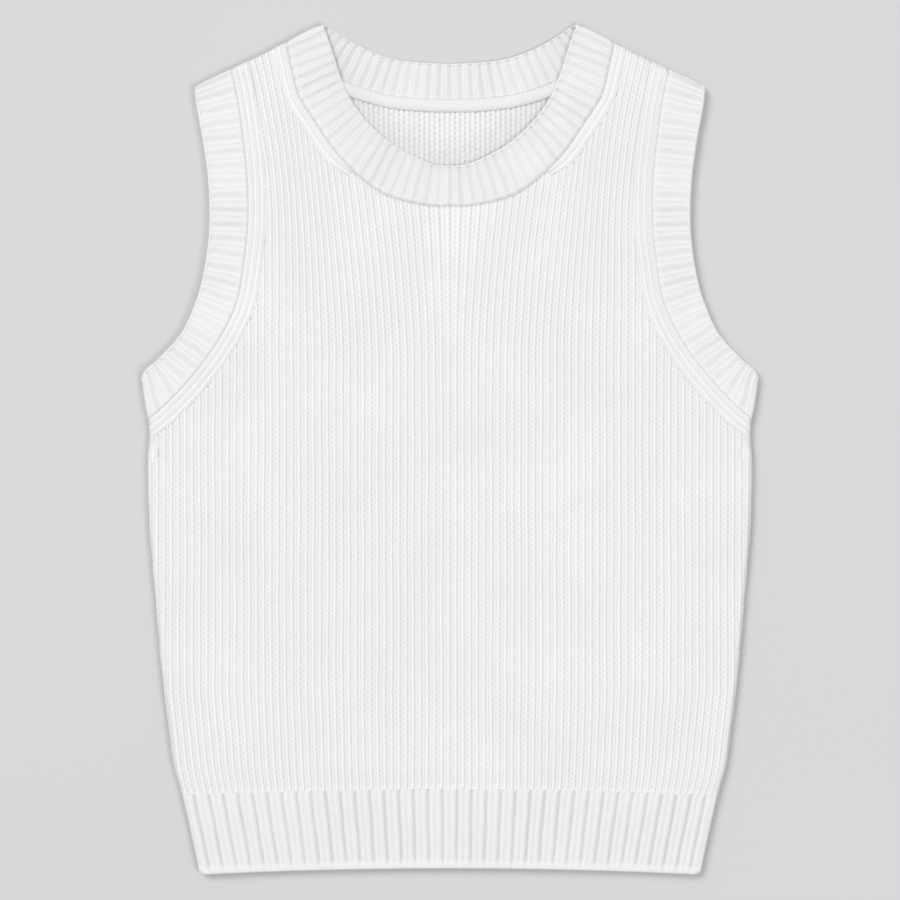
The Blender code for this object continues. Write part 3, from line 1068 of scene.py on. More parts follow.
    def middle(self) -> Grid:
        """The plain middle of the panel, from the hem rib to the strips."""
        stitch = self.stitch
        arm, neck = self.arm_line(self.arm_strip - self.tuck), self.neck_line(self.tuck)
        last = int(math.ceil((SHELL.side(SHELL.underarm) + SHELL.spare) / stitch.wale)) + 1
        tall = self.shoulder[0, 1] + self.above_shoulder - SHELL.hem_seam
        rows = int(math.ceil(tall / stitch.row))
        across, phase = np.meshgrid(stitch.lanes(-last, last), np.arange(-4, 2 * rows) / 2)
        along = SHELL.hem_seam + (phase + stitch.climbed(across)) * stitch.row
        sign = np.where(across < 0, -1.0, 1.0)
        straight = across * stitch.wale + self.wandered(across, phase)
        x, y = self.warped(np.abs(straight), along)
        x, y, keep = self.trimmed(x, y, arm, neck, self.hem_tuck)
        beside = np.minimum(distance_to(x, y, self.arm_inner), distance_to(x, y, self.neck_inner))
        under = (x > self.half_width(y, self.arm_inner)) | (y > self.top(x, self.neck_inner))
        sunk = self.strip_groove * ease(1 - beside / self.tuck) + self.tuck_depth * under
        seam = distance_to(x, y, self.neck_seam)
        sunk = np.maximum(sunk, self.seam_depth * ease(1 - seam / self.seam_reach))
        under_hem = (self.bottom(x) - y) / self.tuck
        sunk = np.maximum(sunk, self.hem_depth * ease(under_hem))
        noise = np.random.default_rng(self.seed).normal(0.0, self.uneven, x.shape)
        relief = 1 - self.hem_flattening * ease(1 - (y - self.bottom(x)) / self.hem_reach)
        depth = np.maximum(relief * stitch.depth(across, phase) + noise, 0.0)
        points = SHELL.place(x * sign, y, self.layer.value, self.lifted(depth, sunk))
        yarn = self.yarn_places(across, phase)
        # Painted shade: darker down between the stitches, and where the yarn is sunk beside seams
        # and under the strips and hem rib.
        hollow = relief * stitch.hollow(across, phase) + SEAM_SHADE * sunk / self.seam_depth
        return Grid(points, yarn, hollow, keep, flipped=self.layer is Layer.BACK)

    def wandered(self, across: Array, phase: Array) -> Array:
        """Slow sideways wander of the wales, 0 on the centre line."""
        slow = sum(
            size * np.sin(phase / rows + across / wales + start)
            for size, rows, wales, start in self.waves
        )
        return self.wobble * slow * np.clip(np.abs(across) / 2, 0.0, 1.0)

    def yarn_places(self, across: Array, phase: Array) -> Array:
        """Millimetres across and along the legs of the stitches."""
        stitch = self.stitch
        return np.stack([across * stitch.wale / MM, phase * stitch.row / MM], axis=-1)

    def strip(
        self,
        seam: Array,
        inward: Array,
        width: Array,
        wales: int,
        start: float,
        seam_depth: float,
    ) -> Grid:
        """A strip of wales that follows a seam, on the +X half.

        Args:
            seam: Level points of the seam, towards the shoulder.
            inward: Unit vectors from the seam into the panel.
            width: The strip's width at each point.
            wales: How many wales lie across it.
            start: Distance along the seam at which it begins to rise out of the panel.
            seam_depth: How far it is sunk along the seam.

        Returns:
            The strip's stitches.
        """
        stitch = self.stitch
        heading = seam[-1] - seam[-self.heading_points]
        over = heading / np.linalg.norm(heading) * self.strip_over
        seam = np.concatenate([seam, [seam[-1] + over]])
        inward = np.concatenate([inward, inward[-1:]])
        width = np.append(width, width[-1])
        length = travelled(seam)
        rows = int(length[-1] / stitch.row) + 1
        across, phase = np.meshgrid(stitch.lanes(0, wales), np.arange(-3, 2 * rows + 1) / 2)
        at = (phase + stitch.climbed(across)) * stitch.row
        wide = np.interp(at, length, width)
        outward = wide * (1 - across / wales)
        line, way = read_line(at, length, seam), read_line(at, length, inward)
        x, y = line[..., 0] + way[..., 0] * outward, line[..., 1] + way[..., 1] * outward
        arm = self.arm_line(0.0)
        outside = x > self.half_width(y, arm) + stitch.row
        x, y, keep = self.trimmed(x, y, arm, self.neck_seam, 0.0)
        thin = wide < self.least_strip
        keep &= ~(outside[:-1, :-1] | thin[:-1, :-1])
        depth = self.strip_relief * stitch.depth(across, phase)
        sunk = seam_depth * ease(1 - outward / self.seam_reach)
        sunk = sunk + self.strip_start * ease(1 - (at - start) / self.strip_rise)
        sunk = sunk + self.strip_edge * (across == 0)
        points = SHELL.place(x, y, self.layer.value, self.lifted(depth, sunk))
        # Painted shade: darker between the stitches, evenly over the whole strip, and where it is
        # sunk.
        hollow = self.strip_relief * stitch.hollow(across, phase) + self.strip_painted_shade
        hollow = hollow + SEAM_SHADE * sunk / self.seam_depth
        yarn = self.yarn_places(across, phase)
        return Grid(points, yarn, hollow, keep, flipped=self.layer is Layer.BACK)

    def strips(self) -> list[Grid]:
        """Strips along both armholes and both sides of the neck."""
        arm = self.arm_line(0.0, self.strip_rise)
        wide = self.arm_strip * self.arm_spread(arm)
        wales = self.arm_strip_wales
        by_arm = self.strip(arm, left_normals(arm), wide, wales, 0.0, self.arm_seam_depth)
        neck = self.neck_seam
        wide = self.neck_width()
        wales = self.neck_strip_wales
        start = np.interp(self.least_cut - self.tuck, wide, travelled(neck))
        by_neck = self.strip(neck, -left_normals(neck), wide, wales, start, self.seam_depth)
        return [by_arm, by_neck, by_arm.mirrored(), by_neck.mirrored()]

    def cut(self) -> tuple[tuple[float, float], float]:
        """The panel's cut, laid open.

        Returns:
            Its width and length, and its area.
        """
        heights = self.fold[self.fold[:, 1] >= SHELL.hem_seam]
        half = np.concatenate([heights, self.arm_seam, self.neck_seam[::-1]])
        half = np.concatenate([half, [[0.0, SHELL.hem_seam]]])
        after = np.roll(half, -1, axis=0)
        area = abs(float(np.sum(half[:, 0] * after[:, 1] - after[:, 0] * half[:, 1])))
        length = float(self.neck_seam[-1, 1] - self.bottom(SHELL.side(SHELL.hem_seam)))
        return (2 * float(half[:, 0].max()), length), area


@dataclass
class BackInside:
    """Purl side of the back, seen through the neck opening."""

    stitch: PurlSide = field(default_factory=PurlSide)
    half_width: float = 0.104
    low: float = 0.178
    uneven: float = 0.13 * MM
    seed: int = 23
    seam_reach: float = 3.0 * MM
    seam_depth: float = 0.8 * MM
    crest_lift: float = 0.45 * MM

    def grid(self) -> Grid:
        """Beads from under the front neck rib up to the neck seam."""
        stitch = self.stitch
        seam = NECK_RUNS[Layer.BACK][:, :2]
        last = int(self.half_width / stitch.bead)
        rows = int((seam[-1, 1] - self.low) / stitch.row)
        across, phase = np.meshgrid(stitch.lanes(-last, last), np.arange(0, 4 * rows) / 4)
        x, y = across * stitch.bead, self.low + phase * stitch.row
        top = np.interp(np.abs(x), seam[:, 0], seam[:, 1])
        keep = touching(y <= top)
        y = np.minimum(y, top)
        noise = np.random.default_rng(self.seed).normal(0.0, self.uneven, x.shape)
        depth = np.maximum(stitch.depth(across, phase) + noise, 0.0)
        beside = distance_to(x, y, both_halves(seam))
        sunk = self.seam_depth * ease(1 - beside / self.seam_reach)
        lift = -SHELL.wall - self.crest_lift + depth + sunk
        points = SHELL.place(x, y, Layer.BACK.value, lift)
        yarn = np.stack([x / MM, y / MM], axis=-1)
        # Painted shade down between the beads, and painted shadow near the front neck rib's free
        # edge.
        hollow = depth / (stitch.between_beads + stitch.between_rows)
        hollow = hollow + painted_shadow_under_collar(x, y)
        return Grid(points, yarn, hollow, keep, finish=1)


# ---------------------------------------------------------------- ribbed bands

class Run(NamedTuple):
    """A stretch of a ring. side is the sign of its x, and backwards takes it from its far end."""

    sections: Array
    layer: Layer
    side: int
    backwards: bool


class BandRow(NamedTuple):
    """One row of a band: where it lies across it, its inset, and how its ribs show there."""

    across: float
    inset: float
    ribbed: float
    raised: float
    phase: float
    shifted: float


@dataclass
class RibBand:
    """A band of ribs that run from its seam to its free edge."""

    rib: TwoByOneRib
    width: float
    outer_rows: int
    inner_rows: int
    edge_rows: int = 7
    edge_turns: int = 5
    crest_lift: float = 0.30 * MM
    bound_edge: float = 3.2 * MM
    ridge: float = 0.22 * MM
    ridge_pitch: float = 2.6 * MM
    seam_drop: float = 1.1 * MM
    inner_seam_drop: float = 0.15 * MM
    seam_reach: float = 2.2 * MM
    ribs_start: float = 2.2 * MM
    inner_to: float = 0.0
    # How much of the ribs shows at the seam, along the bound edge, round it and inside. They come
    # back over one width of the bound edge, from ribs_fade of that width inside its free edge.
    ribs_at_seam: float = 0.3
    ribs_at_edge: float = 0.22
    ribs_fade: float = 0.4
    ribs_round_edge: float = 0.15
    ribs_inside: float = 0.6
    # Height, place and length of the bead at the top of each purl wale.
    bead: float = 0.0
    bead_from_seam: float = 1.2 * MM
    bead_length: float = 1.5 * MM
    # Which way the Vs open: 1 towards the free edge and -1 away from it.
    vs_open: float = 1.0
    uneven: float = 0.35
    wander: float = 0.035
    seed: int = 5

    def edge_ridge(self, from_edge: float) -> float:
        """Height of the bound edge's ridges at a distance from the free edge."""
        if from_edge > self.bound_edge:
            return 0.0
        return self.ridge * (0.5 - 0.5 * math.cos(2 * math.pi * from_edge / self.ridge_pitch))

    def flat_row(self, across: float, inner: bool, phase: float) -> BandRow:
        """A row on the outer or inner face."""
        from_seam, from_edge = across * self.width, (1 - across) * self.width
        at_seam = float(ease(1 - from_seam / self.seam_reach))
        start = float(ease(from_seam / self.ribs_start))
        bound = float(ease(from_edge / self.bound_edge - self.ribs_fade))
        inset = self.seam_drop * at_seam
        if inner:
            inset = SHELL.wall - self.inner_seam_drop * at_seam
        ribbed = self.ribs_at_edge + (1 - self.ribs_at_edge) * bound
        ribbed = ribbed * (self.ribs_at_seam + (1 - self.ribs_at_seam) * start)
        shifted = bound * (1 - at_seam)
        return BandRow(across, inset, ribbed, self.edge_ridge(from_edge), phase, shifted)

    def rows(self) -> list[BandRow]:
        """Rows up the outer face, round the free edge and down the inner face."""
        radius = SHELL.wall / 2
        last = 1 - radius / self.width
        bound = last - self.bound_edge / self.width
        outer = np.linspace(0.0, bound, self.outer_rows)
        edge = np.linspace(bound, last, self.edge_rows + 1)[1:]
        inner = np.linspace(last, self.inner_to, self.inner_rows)
        rows = [self.flat_row(at, False, step / 2) for step, at in enumerate(outer)]
        rows += [self.flat_row(at, False, 0.5) for at in edge]
        for turn in np.linspace(0.0, math.pi, self.edge_turns + 2)[1:-1]:
            across = last + math.sin(turn) * radius / self.width
            inset = radius * (1 - math.cos(turn))
            rows.append(BandRow(across, inset, self.ribs_round_edge, 0.0, 0.5, 0.0))
        rows += [self.flat_row(at, True, step / 2) for step, at in enumerate(inner)]
        return rows

    def knitted(self, seam: Array, edge: Array, up: Array, across_rib: Array, ring: bool) -> Grid:
        """Ribs between two lines.

        Args:
            seam: Unrolled seam point of each column.
            edge: Unrolled edge point of each column.
            up: The layer of each column, 1 or -1.
            across_rib: Ribs from the start, for each column.
            ring: Whether the band closes on itself.

        Returns:
            The band's stitches, closed along the seam too where it is a ring.
        """
        rows = self.rows()
        names = BandRow._fields
        across, inset, ribbed, raised, phase, shifted = (
            np.array([getattr(row, name) for row in rows])[:, None] for name in names
        )
        inner = inset > SHELL.wall / 2
        place = across_rib[None] + np.where(inner, 0.5, 0.0)
        place = place + self.wandered(across, across_rib)
        climbed = self.rib.climbed(place) * self.rib.row / self.width
        share = across + climbed * shifted * self.vs_open
        x = seam[None, :, 0] * (1 - share) + edge[None, :, 0] * share
        y = seam[None, :, 1] * (1 - share) + edge[None, :, 1] * share
        depth = self.rib.depth(place, phase) * ribbed * self.strength(across_rib)
        depth = depth - self.start_bead(place, across)
        lift = (self.crest_lift + raised - depth) * np.where(inner, -self.ribs_inside, 1.0) - inset
        lift = np.where(up[None] < 0, self.on_floor(lift, inner), lift)
        points = SHELL.place(x, y, np.broadcast_to(up[None], x.shape), lift)
        columns = np.append(across_rib, across_rib[0] + len(across_rib) / len(self.rib.columns))
        sideways = columns if ring else across_rib
        up_rows = np.append(across[:, 0], 0.0) if ring else across[:, 0]
        yarn = np.stack(np.meshgrid(sideways * self.rib.pitch / MM, up_rows * self.width / MM), -1)
        # Painted shade down in the grooves, and painted shadow on the back's inner face near the
        # front neck rib's free edge.
        hollow = depth / self.rib.groove
        shaded = inner & (up[None] < 0)
        hollow = hollow + np.where(shaded, painted_shadow_under_collar(x, y), 0.0)
        return Grid(points, yarn, hollow, ring=ring, tube=ring)

    def wandered(self, across: Array, across_rib: Array) -> Array:
        """Sideways wander of each rib, in ribs, at places across the band."""
        whole = np.floor(across_rib + 0.5)[None]
        first = np.sin(4.1 * across + 2.3 * whole + self.seed)
        second = np.sin(9.7 * across + 5.1 * whole * whole)
        return self.wander * (first + 0.5 * second) * np.sin(math.pi * np.clip(across, 0.0, 1.0))

    def strength(self, across_rib: Array) -> Array:
        """How deep the ribs are along the band, from 1 down by the share that they vary."""
        slow = 0.5 + 0.5 * np.sin(across_rib * 0.37 + self.seed) * np.sin(across_rib * 0.93 + 1.0)
        return (1 - self.uneven * slow)[None]

    def start_bead(self, place: Array, across: Array) -> Array:
        """Height of the bead at the top of each purl wale."""
        away = (across * self.width - self.bead_from_seam) / self.bead_length
        return self.bead * self.rib.in_groove(place) * np.exp(-2 * away**2)

    def on_floor(self, lift: Array, inner: Array) -> Array:
        """Lift of a back band, whose outer face stays above the floor."""
        return np.where(inner, lift, np.minimum(lift - self.crest_lift - self.ridge, 0.0))


@dataclass
class RibRing(RibBand):
    """A closed band: the neck rib or an armhole rib."""

    ribs_are_odd: bool = False

    def columns(self, runs: list[Run]) -> tuple[Array, Array, Array]:
        """Join runs into a ring of columns.

        Args:
            runs: The runs, each starting where the last one ends.

        Returns:
            The columns' sections, their layers, and their places in ribs.
        """
        sections, ups = [], []
        for run in runs:
            signed = run.sections * np.array([run.side, 1.0, run.side, 1.0])
            sections.append(signed[::-1] if run.backwards else signed)
            ups.append(np.full(len(signed), float(run.layer.value)))
        sections, ups = np.concatenate(sections), np.concatenate(ups)
        middle = (sections[:, :2] + sections[:, 2:]) / 2
        line = SHELL.place(middle[:, 0], middle[:, 1], ups, np.zeros(len(ups)))
        along = travelled(line)
        count = round(along[-1] / self.rib.pitch)
        if self.ribs_are_odd and count % 2 == 0:
            count += 1
        places = (np.arange(count)[:, None] + np.array(self.rib.columns)).ravel()
        at = places / count * along[-1]
        layers = np.where(np.interp(at, along, ups) < 0, -1.0, 1.0)
        return read_line(at, along, sections), layers, places

    def ring(self, runs: list[Run], flipped: bool) -> Grid:
        """The ring's stitches."""
        sections, ups, places = self.columns(runs)
        grid = self.knitted(sections[:, :2], sections[:, 2:], ups, places, True)
        grid.flipped = flipped
        return grid

    def seam_loop(self, runs: list[Run], sunk: float) -> Array:
        """Points of the sewn line along the ring's seam, back to its first point."""
        sections, ups, _ = self.columns(runs)
        line = SHELL.place(sections[:, 0], sections[:, 1], ups, np.full(len(ups), -sunk))
        return np.concatenate([line, line[:1]])

    def around(self, runs: list[Run]) -> float:
        """Length of the ring along its middle."""
        sections, ups, _ = self.columns(runs)
        middle = (sections[:, :2] + sections[:, 2:]) / 2
        return float(travelled(SHELL.place(*middle.T, ups, np.zeros(len(ups))))[-1])


@dataclass
class HemRib(RibBand):
    """Ribbed band along the bottom of one layer."""

    ribs: int = 37
    bead: float = 1.25 * MM
    vs_open: float = -1.0

    def grid(self, layer: Layer) -> Grid:
        """The hem's stitches, drawn in round its bottom corners.

        Args:
            layer: The layer that it is on.

        Returns:
            An open band, turned up inside past its cast-on edge.
        """
        half = self.ribs / 2
        places = (np.arange(self.ribs)[:, None] + np.array(self.rib.columns)).ravel()
        places = np.append(places, float(self.ribs))
        share = (places - half) / half
        ends = []
        for height in (SHELL.hem_seam, SHELL.hem_edge):
            wide = float(SHELL.side(height - SHELL.hem_bow)) + SHELL.spare
            ends.append(np.stack([share * wide, height - SHELL.hem_bow * share**2], axis=1))
        up = np.full(len(places), float(layer.value))
        grid = self.knitted(*ends, up, places, False)
        self.round_corners(grid.points)
        grid.flipped = layer is Layer.FRONT
        return grid

    def round_corners(self, points: Array) -> None:
        """Draw the bottom corners in along a quarter circle."""
        across = np.abs(points[..., 0])
        bottom = SHELL.hem_edge - SHELL.hem_bow
        into = np.clip((bottom + SHELL.hem_corner - points[..., 1]) / SHELL.hem_corner, 0.0, 1.0)
        pull = SHELL.hem_corner * (1 - np.sqrt(1 - into**2))
        widest = float(SHELL.side(bottom))
        near = ease((across - widest + 4 * SHELL.hem_corner) / (4 * SHELL.hem_corner))
        points[..., 0] *= 1 - pull * near / np.maximum(across, MM)


# ---------------------------------------------------------------- roll and seams

@dataclass
class NeckRoll:
    """Half-round roll inside the back neck, just below the neck rib."""

    width: float = 9.4 * MM
    height: float = 2.1 * MM
    end_height: float = 0.6 * MM
    full_to: float = 0.066
    end: float = 0.104
    # From the neck seam down to the roll, which starts under the rib where it is below 0.
    gap: float = -1.2 * MM
    arc: int = 15
    stitch: float = 3.2 * MM
    steps_in_a_stitch: int = 3
    relief: float = 0.14 * MM
    shade: float = 0.3
    above_back: float = 0.5 * MM
    undercut: float = math.radians(24)

    def grid(self) -> Grid:
        """The roll as a closed tube with small slanting stitches."""
        seam = NECK_RUNS[Layer.BACK][:, :2]
        line = both_halves(seam[seam[:, 0] <= self.end])
        along = travelled(line)
        steps = int(along[-1] / (self.stitch / self.steps_in_a_stitch))
        at = np.linspace(0.0, along[-1], steps)
        turns = np.linspace(-self.undercut, math.pi + self.undercut, self.arc)
        middle = line - left_normals(line) * (self.gap + self.width / 2)
        centre = read_line(at, along, middle)
        way = read_line(at, along, left_normals(line))
        ends = ease((np.abs(centre[:, 0]) - self.full_to) / (self.end - self.full_to))
        tall = self.height + (self.end_height - self.height) * ends
        slant = at[:, None] / self.stitch + np.abs(turns[None] / math.pi - 0.5)
        ripple = self.relief * row_gap(slant)
        reach = self.width / 2 - ripple
        out = np.cos(turns)[None] * reach
        x = centre[:, :1] + way[:, :1] * out
        y = centre[:, 1:] + way[:, 1:] * out
        z = SHELL.wall + self.above_back + np.sin(turns)[None] * (tall[:, None] - ripple)
        points = np.stack([x, y, z], axis=-1)
        round_it = np.append(turns, turns[0]) * self.width / 2
        yarn = np.stack(np.meshgrid(round_it / MM, at / MM), -1)
        # Painted shade in the roll's ripples, and painted shadow near the front neck rib's free
        # edge.
        hollow = self.shade * ripple / self.relief + painted_shadow_under_collar(x, y)
        return Grid(points, yarn, hollow, ring=True, flipped=True)


@dataclass
class SeamYarn:
    """A line of small sewn stitches, sunk between two pieces."""

    radius: float = 0.42 * MM
    thinnest: float = 0.55
    pitch: float = 3.0 * MM
    steps_in_a_bead: int = 4
    sides: int = 6
    # Painted shade: the seam is darkened all over where it lies sunk between pieces, least on each
    # bead's crest.
    shade: float = 0.75
    crest_shade: float = 0.25
    # A line steeper than this has its sides set square to the centre line.
    least_level: float = 0.2

    def grid(self, line: Array, closed: bool) -> Grid:
        """Beads along a line.

        Args:
            line: Points of the line.
            closed: Whether it runs into itself.

        Returns:
            A tube that thins between the beads.
        """
        along = travelled(line)
        beads = max(1, round(along[-1] / self.pitch))
        at = np.linspace(0.0, along[-1], beads * self.steps_in_a_bead, endpoint=not closed)
        centre = read_line(at, along, line)
        ahead = read_line(at + 0.1 * MM, along, line) - read_line(at - 0.1 * MM, along, line)
        ahead /= np.maximum(np.linalg.norm(ahead, axis=1, keepdims=True), TINY)
        side = np.cross(ahead, np.array([0.0, 0.0, 1.0]))
        level = np.linalg.norm(side, axis=1, keepdims=True)
        side = side / np.maximum(level, TINY)
        side = np.where(level > self.least_level, side, np.array([1.0, 0.0, 0.0]))
        over = np.cross(side, ahead)
        swell = np.abs(np.sin(math.pi * at * beads / along[-1]))
        thick = self.radius * (self.thinnest + (1 - self.thinnest) * swell)
        turns = np.linspace(0.0, 2 * math.pi, self.sides, endpoint=False)
        ring = (
            side[:, None] * np.cos(turns)[None, :, None]
            + over[:, None] * np.sin(turns)[None, :, None]
        )
        points = centre[:, None] + ring * thick[:, None, None]
        lengths = np.append(at, along[-1]) if closed else at
        round_it = np.append(turns, 2 * math.pi) * self.radius / MM
        yarn = np.stack(np.meshgrid(round_it, lengths / MM), -1)
        # Painted shade, deepest where the tube thins between beads and least on their crests.
        shade = self.shade + (self.crest_shade - self.shade) * swell
        hollow = np.broadcast_to(shade[:, None], points.shape[:2])
        return Grid(points, yarn, hollow, ring=True, tube=closed)


# ---------------------------------------------------------------- sub-assemblies

@dataclass
class Body:
    """Front and back panels."""

    seed: int = 11

    def build(self) -> list[bpy.types.Object]:
        """Knit both panels.

        Returns:
            The front and the back.
        """
        made = []
        for layer in Layer:
            panel = BodyPanel(layer, seed=self.seed + layer.value)
            grids = [panel.middle(), *panel.strips()]
            finishes = [BODY_YARN]
            if layer is Layer.BACK:
                grids.append(BackInside().grid())
                finishes = [BACK_YARN, PURL_YARN]
            word = layer.name.lower()
            slot = "stockinette" if layer is Layer.FRONT else "stockinette_back"
            knit = KnitMesh(f"{word}_knit", grids, finishes, welded=True)
            item = knit.make(slot, (f"{word}_panel",))
            made.append((item, panel))
        front, back = (item for item, _ in made)
        for (item, panel), under in zip(made, (back, "floor")):
            flat, area = panel.cut()
        return [front, back]


@dataclass
class Hem:
    """Front and back hem ribs."""

    pitch: float = 10.3 * MM
    row: float = 2.4 * MM
    width: float = 56.9 * MM

    def build(self, rests_on: dict[Layer, list]) -> list[bpy.types.Object]:
        """Knit both hem ribs.

        Args:
            rests_on: What each layer's rib lies on; not used.

        Returns:
            The two ribs.
        """
        rib = TwoByOneRib(
            self.pitch,
            self.row,
            middle=0.38 * MM,
            places=(0.0, 0.045, 0.09, 0.17, 0.29, 0.41, 0.5),
        )
        band = HemRib(
            rib,
            self.width,
            outer_rows=48,
            inner_rows=5,
            bound_edge=3.8 * MM,
            ridge=0.34 * MM,
            ridge_pitch=1.9 * MM,
            seam_drop=0.35 * MM,
            seam_reach=1.7 * MM,
            ribs_start=3.4 * MM,
            inner_to=0.86,
            uneven=0.2,
            wander=0.02,
        )
        wide, narrow = (
            2 * (float(SHELL.side(height)) + SHELL.spare)
            for height in (SHELL.hem_seam, SHELL.hem_edge)
        )
        made = []
        for layer in Layer:
            word = layer.name.lower()
            knit = KnitMesh(f"{word}_hem_knit", [band.grid(layer)], [HEM_YARN])
            item = knit.make("hem_rib", (f"{word}_hem_rib",))
            made.append(item)
        return made


@dataclass
class RibbedOpening:
    """A ribbed ring round an opening, sewn on along its seam."""

    node: str
    slot: str
    seam_name: str
    band: RibRing
    runs: list[Run]
    finish: YarnFinish
    seam_sunk: float
    flipped: bool = False

    def build(self, front: bpy.types.Object, back: bpy.types.Object) -> list[bpy.types.Object]:
        """Knit the ring and lay its seam.

        Args:
            front: The front panel; not used.
            back: The back panel; not used.

        Returns:
            The rib and its seam.
        """
        ring = self.band.ring(self.runs, self.flipped)
        item = KnitMesh(f"{self.node}_knit", [ring], [self.finish]).make(self.slot, (self.node,))
        sewn = SeamYarn().grid(self.band.seam_loop(self.runs, self.seam_sunk), True)
        seam = KnitMesh(self.seam_name, [sewn], [SEAM_YARN]).make("seam", ())
        flat = (self.band.around(self.runs), self.band.width)
        return [item, seam]


@dataclass
class Neck:
    """Neck rib, its seam and the roll inside the back neck."""

    pitch: float = 7.6 * MM
    row: float = 2.6 * MM
    width: float = 29.0 * MM
    seam_sunk: float = 0.75 * MM

    def build(self, front: bpy.types.Object, back: bpy.types.Object) -> list[bpy.types.Object]:
        """Knit the neck rib and lay its seam and roll.

        Args:
            front: The front panel.
            back: The back panel.

        Returns:
            The rib, the seam and the roll.
        """
        rib = TwoByOneRib(
            self.pitch,
            self.row,
            groove=1.0 * MM,
            middle=0.22 * MM,
            purl_bump=0.2 * MM,
            places=(0.0, 0.10, 0.19, 0.28, 0.36, 0.43, 0.5),
        )
        band = RibRing(
            rib,
            self.width,
            outer_rows=21,
            inner_rows=21,
            ridge=0.12 * MM,
            bound_edge=2.4 * MM,
            uneven=0.5,
            ribs_are_odd=True,
        )
        ahead, behind = NECK_RUNS[Layer.FRONT], NECK_RUNS[Layer.BACK]
        runs = [
            Run(ahead, Layer.FRONT, 1, False),
            Run(behind, Layer.BACK, 1, True),
            Run(behind, Layer.BACK, -1, False),
            Run(ahead, Layer.FRONT, -1, True),
        ]
        opening = RibbedOpening(
            "neck_rib", "neck_rib", "neck_seam", band, runs, NECK_YARN, self.seam_sunk
        )
        roll = KnitMesh("back_neck_roll_knit", [NeckRoll().grid()], [SEAM_YARN])
        return [*opening.build(front, back), roll.make("seam", ("back_neck_roll",))]


@dataclass
class Armholes:
    """The two armhole ribs and their seams."""

    pitch: float = 10.4 * MM
    row: float = 2.6 * MM
    width: float = 27.5 * MM
    seam_sunk: float = 0.3 * MM

    def build(self, front: bpy.types.Object, back: bpy.types.Object) -> list[bpy.types.Object]:
        """Knit both armhole ribs.

        Args:
            front: The front panel.
            back: The back panel.

        Returns:
            The ribs and their seams.
        """
        rib = TwoByOneRib(
            self.pitch,
            self.row,
            groove=0.68 * MM,
            middle=0.26 * MM,
            purl_bump=0.15 * MM,
            places=(0.0, 0.075, 0.15, 0.24, 0.33, 0.42, 0.5),
        )
        band = RibRing(
            rib,
            self.width,
            outer_rows=20,
            inner_rows=9,
            uneven=0.75,
            ridge=0.35 * MM,
            seam_drop=0.5 * MM,
        )
        made = []
        for side, word in ((1, "left"), (-1, "right")):
            opening = RibbedOpening(
                f"armhole_rib_{word}",
                "armhole_rib",
                f"armhole_seam_{word}",
                band,
                [
                    Run(ARMHOLE_RUN, Layer.FRONT, side, False),
                    Run(ARMHOLE_RUN, Layer.BACK, side, True),
                ],
                ARM_YARN,
                self.seam_sunk,
                flipped=side > 0,
            )
            made += opening.build(front, back)
        return made


@dataclass
class JoiningSeams:
    """Sewn seams down the sides and over the shoulders, where the front meets the back."""

    sunk: float = 0.45 * MM

    def build(self) -> list[bpy.types.Object]:
        """Lay the four seams.

        Returns:
            The two side seams and the two shoulder seams.
        """
        side = SHELL.side_line(SHELL.hem_edge - 1 * MM, 260)
        shoulder = SHELL.shoulder_line(NECK_RUNS[Layer.FRONT][-1, 0], ARMHOLE_RUN[-1, 0])
        made = []
        for name, line in (("side_seam", side), ("shoulder_seam", shoulder)):
            for sign, word in ((1, "left"), (-1, "right")):
                sunk = np.full(len(line), -self.sunk)
                points = SHELL.place(line[:, 0] * sign, line[:, 1], np.ones(len(line)), sunk)
                seam = KnitMesh(f"{name}_{word}", [SeamYarn().grid(points, False)], [SEAM_YARN])
                made.append(seam.make("seam", ()))
        return made


# ---------------------------------------------------------------- studio

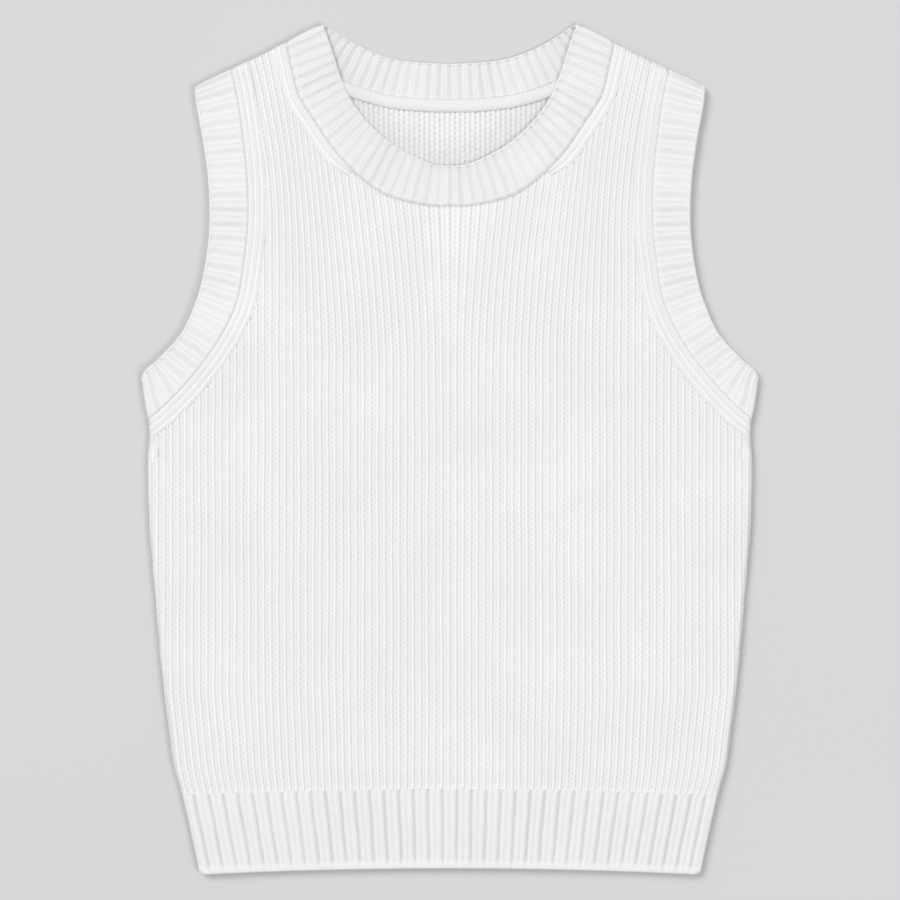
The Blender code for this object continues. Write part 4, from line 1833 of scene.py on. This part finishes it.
@dataclass
class Studio:
    """Pale floor, soft light and a camera straight above."""

    floor_size: float = 6.0
    view_width: float = 0.643
    lens: float = 120.0
    sensor: float = 36.0
    camera_shift: float = -0.4 * MM
    floor_drop: float = 0.2 * MM
    world_light: float = 0.555

    def build(self) -> bpy.types.Object:
        """Lay the floor, hang the lights and set the camera.

        Returns:
            The floor.
        """
        floor = self.floor()
        self.lamp("key_light", (-3.0, 2.8, 4.5), size=3.0, power=208.0)
        self.lamp("fill_light", (2.1, -1.1, 3.2), size=1.6, power=46.0)
        world = bpy.data.worlds.new("studio")
        world.use_nodes = True
        sky = world.node_tree.nodes["Background"]
        sky.inputs["Color"].default_value = (1.0, 1.0, 1.0, 1.0)
        sky.inputs["Strength"].default_value = self.world_light
        bpy.context.scene.world = world
        bpy.context.scene.view_settings.view_transform = "Standard"
        self.camera()
        return floor

    def floor(self) -> bpy.types.Object:
        """A level sheet under the vest."""
        shape = bmesh.new()
        bmesh.ops.create_grid(shape, x_segments=1, y_segments=1, size=self.floor_size / 2)
        mesh = bpy.data.meshes.new("floor")
        shape.to_mesh(mesh)
        shape.free()
        mesh.materials.append(FloorFinish().material())
        item = bpy.data.objects.new("floor", mesh)
        bpy.context.scene.collection.objects.link(item)
        item.location.z = -self.floor_drop
        item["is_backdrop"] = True
        return item

    def lamp(self, name: str, place: tuple, size: float, power: float) -> None:
        """A square soft light that faces the vest."""
        light = bpy.data.lights.new(name, "AREA")
        light.size = size
        light.energy = power
        item = bpy.data.objects.new(name, light)
        item.location = place
        item.rotation_euler = (-item.location).to_track_quat("-Z", "Y").to_euler()
        bpy.context.scene.collection.objects.link(item)

    def camera(self) -> None:
        """A long lens straight above the middle of the outline, with the neck at the top."""
        camera = bpy.data.cameras.new("camera")
        camera.lens = self.lens
        camera.sensor_width = self.sensor
        item = bpy.data.objects.new("camera", camera)
        low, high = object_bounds()
        away = self.view_width * self.lens / self.sensor
        item.location = (0.0, (low.y + high.y) / 2 + self.camera_shift, high.z + away)
        bpy.context.scene.collection.objects.link(item)
        bpy.context.scene.camera = item


def main() -> None:
    """Build the vest and its studio."""
    logging.basicConfig(level=logging.INFO, format="%(name)s %(message)s")
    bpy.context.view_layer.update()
    floor = Studio().build()
    front, back = Body().build()
    Hem().build({Layer.FRONT: [back], Layer.BACK: [floor]})
    Neck().build(front, back)
    Armholes().build(front, back)
    JoiningSeams().build()


if __name__ == "__main__":
    main()
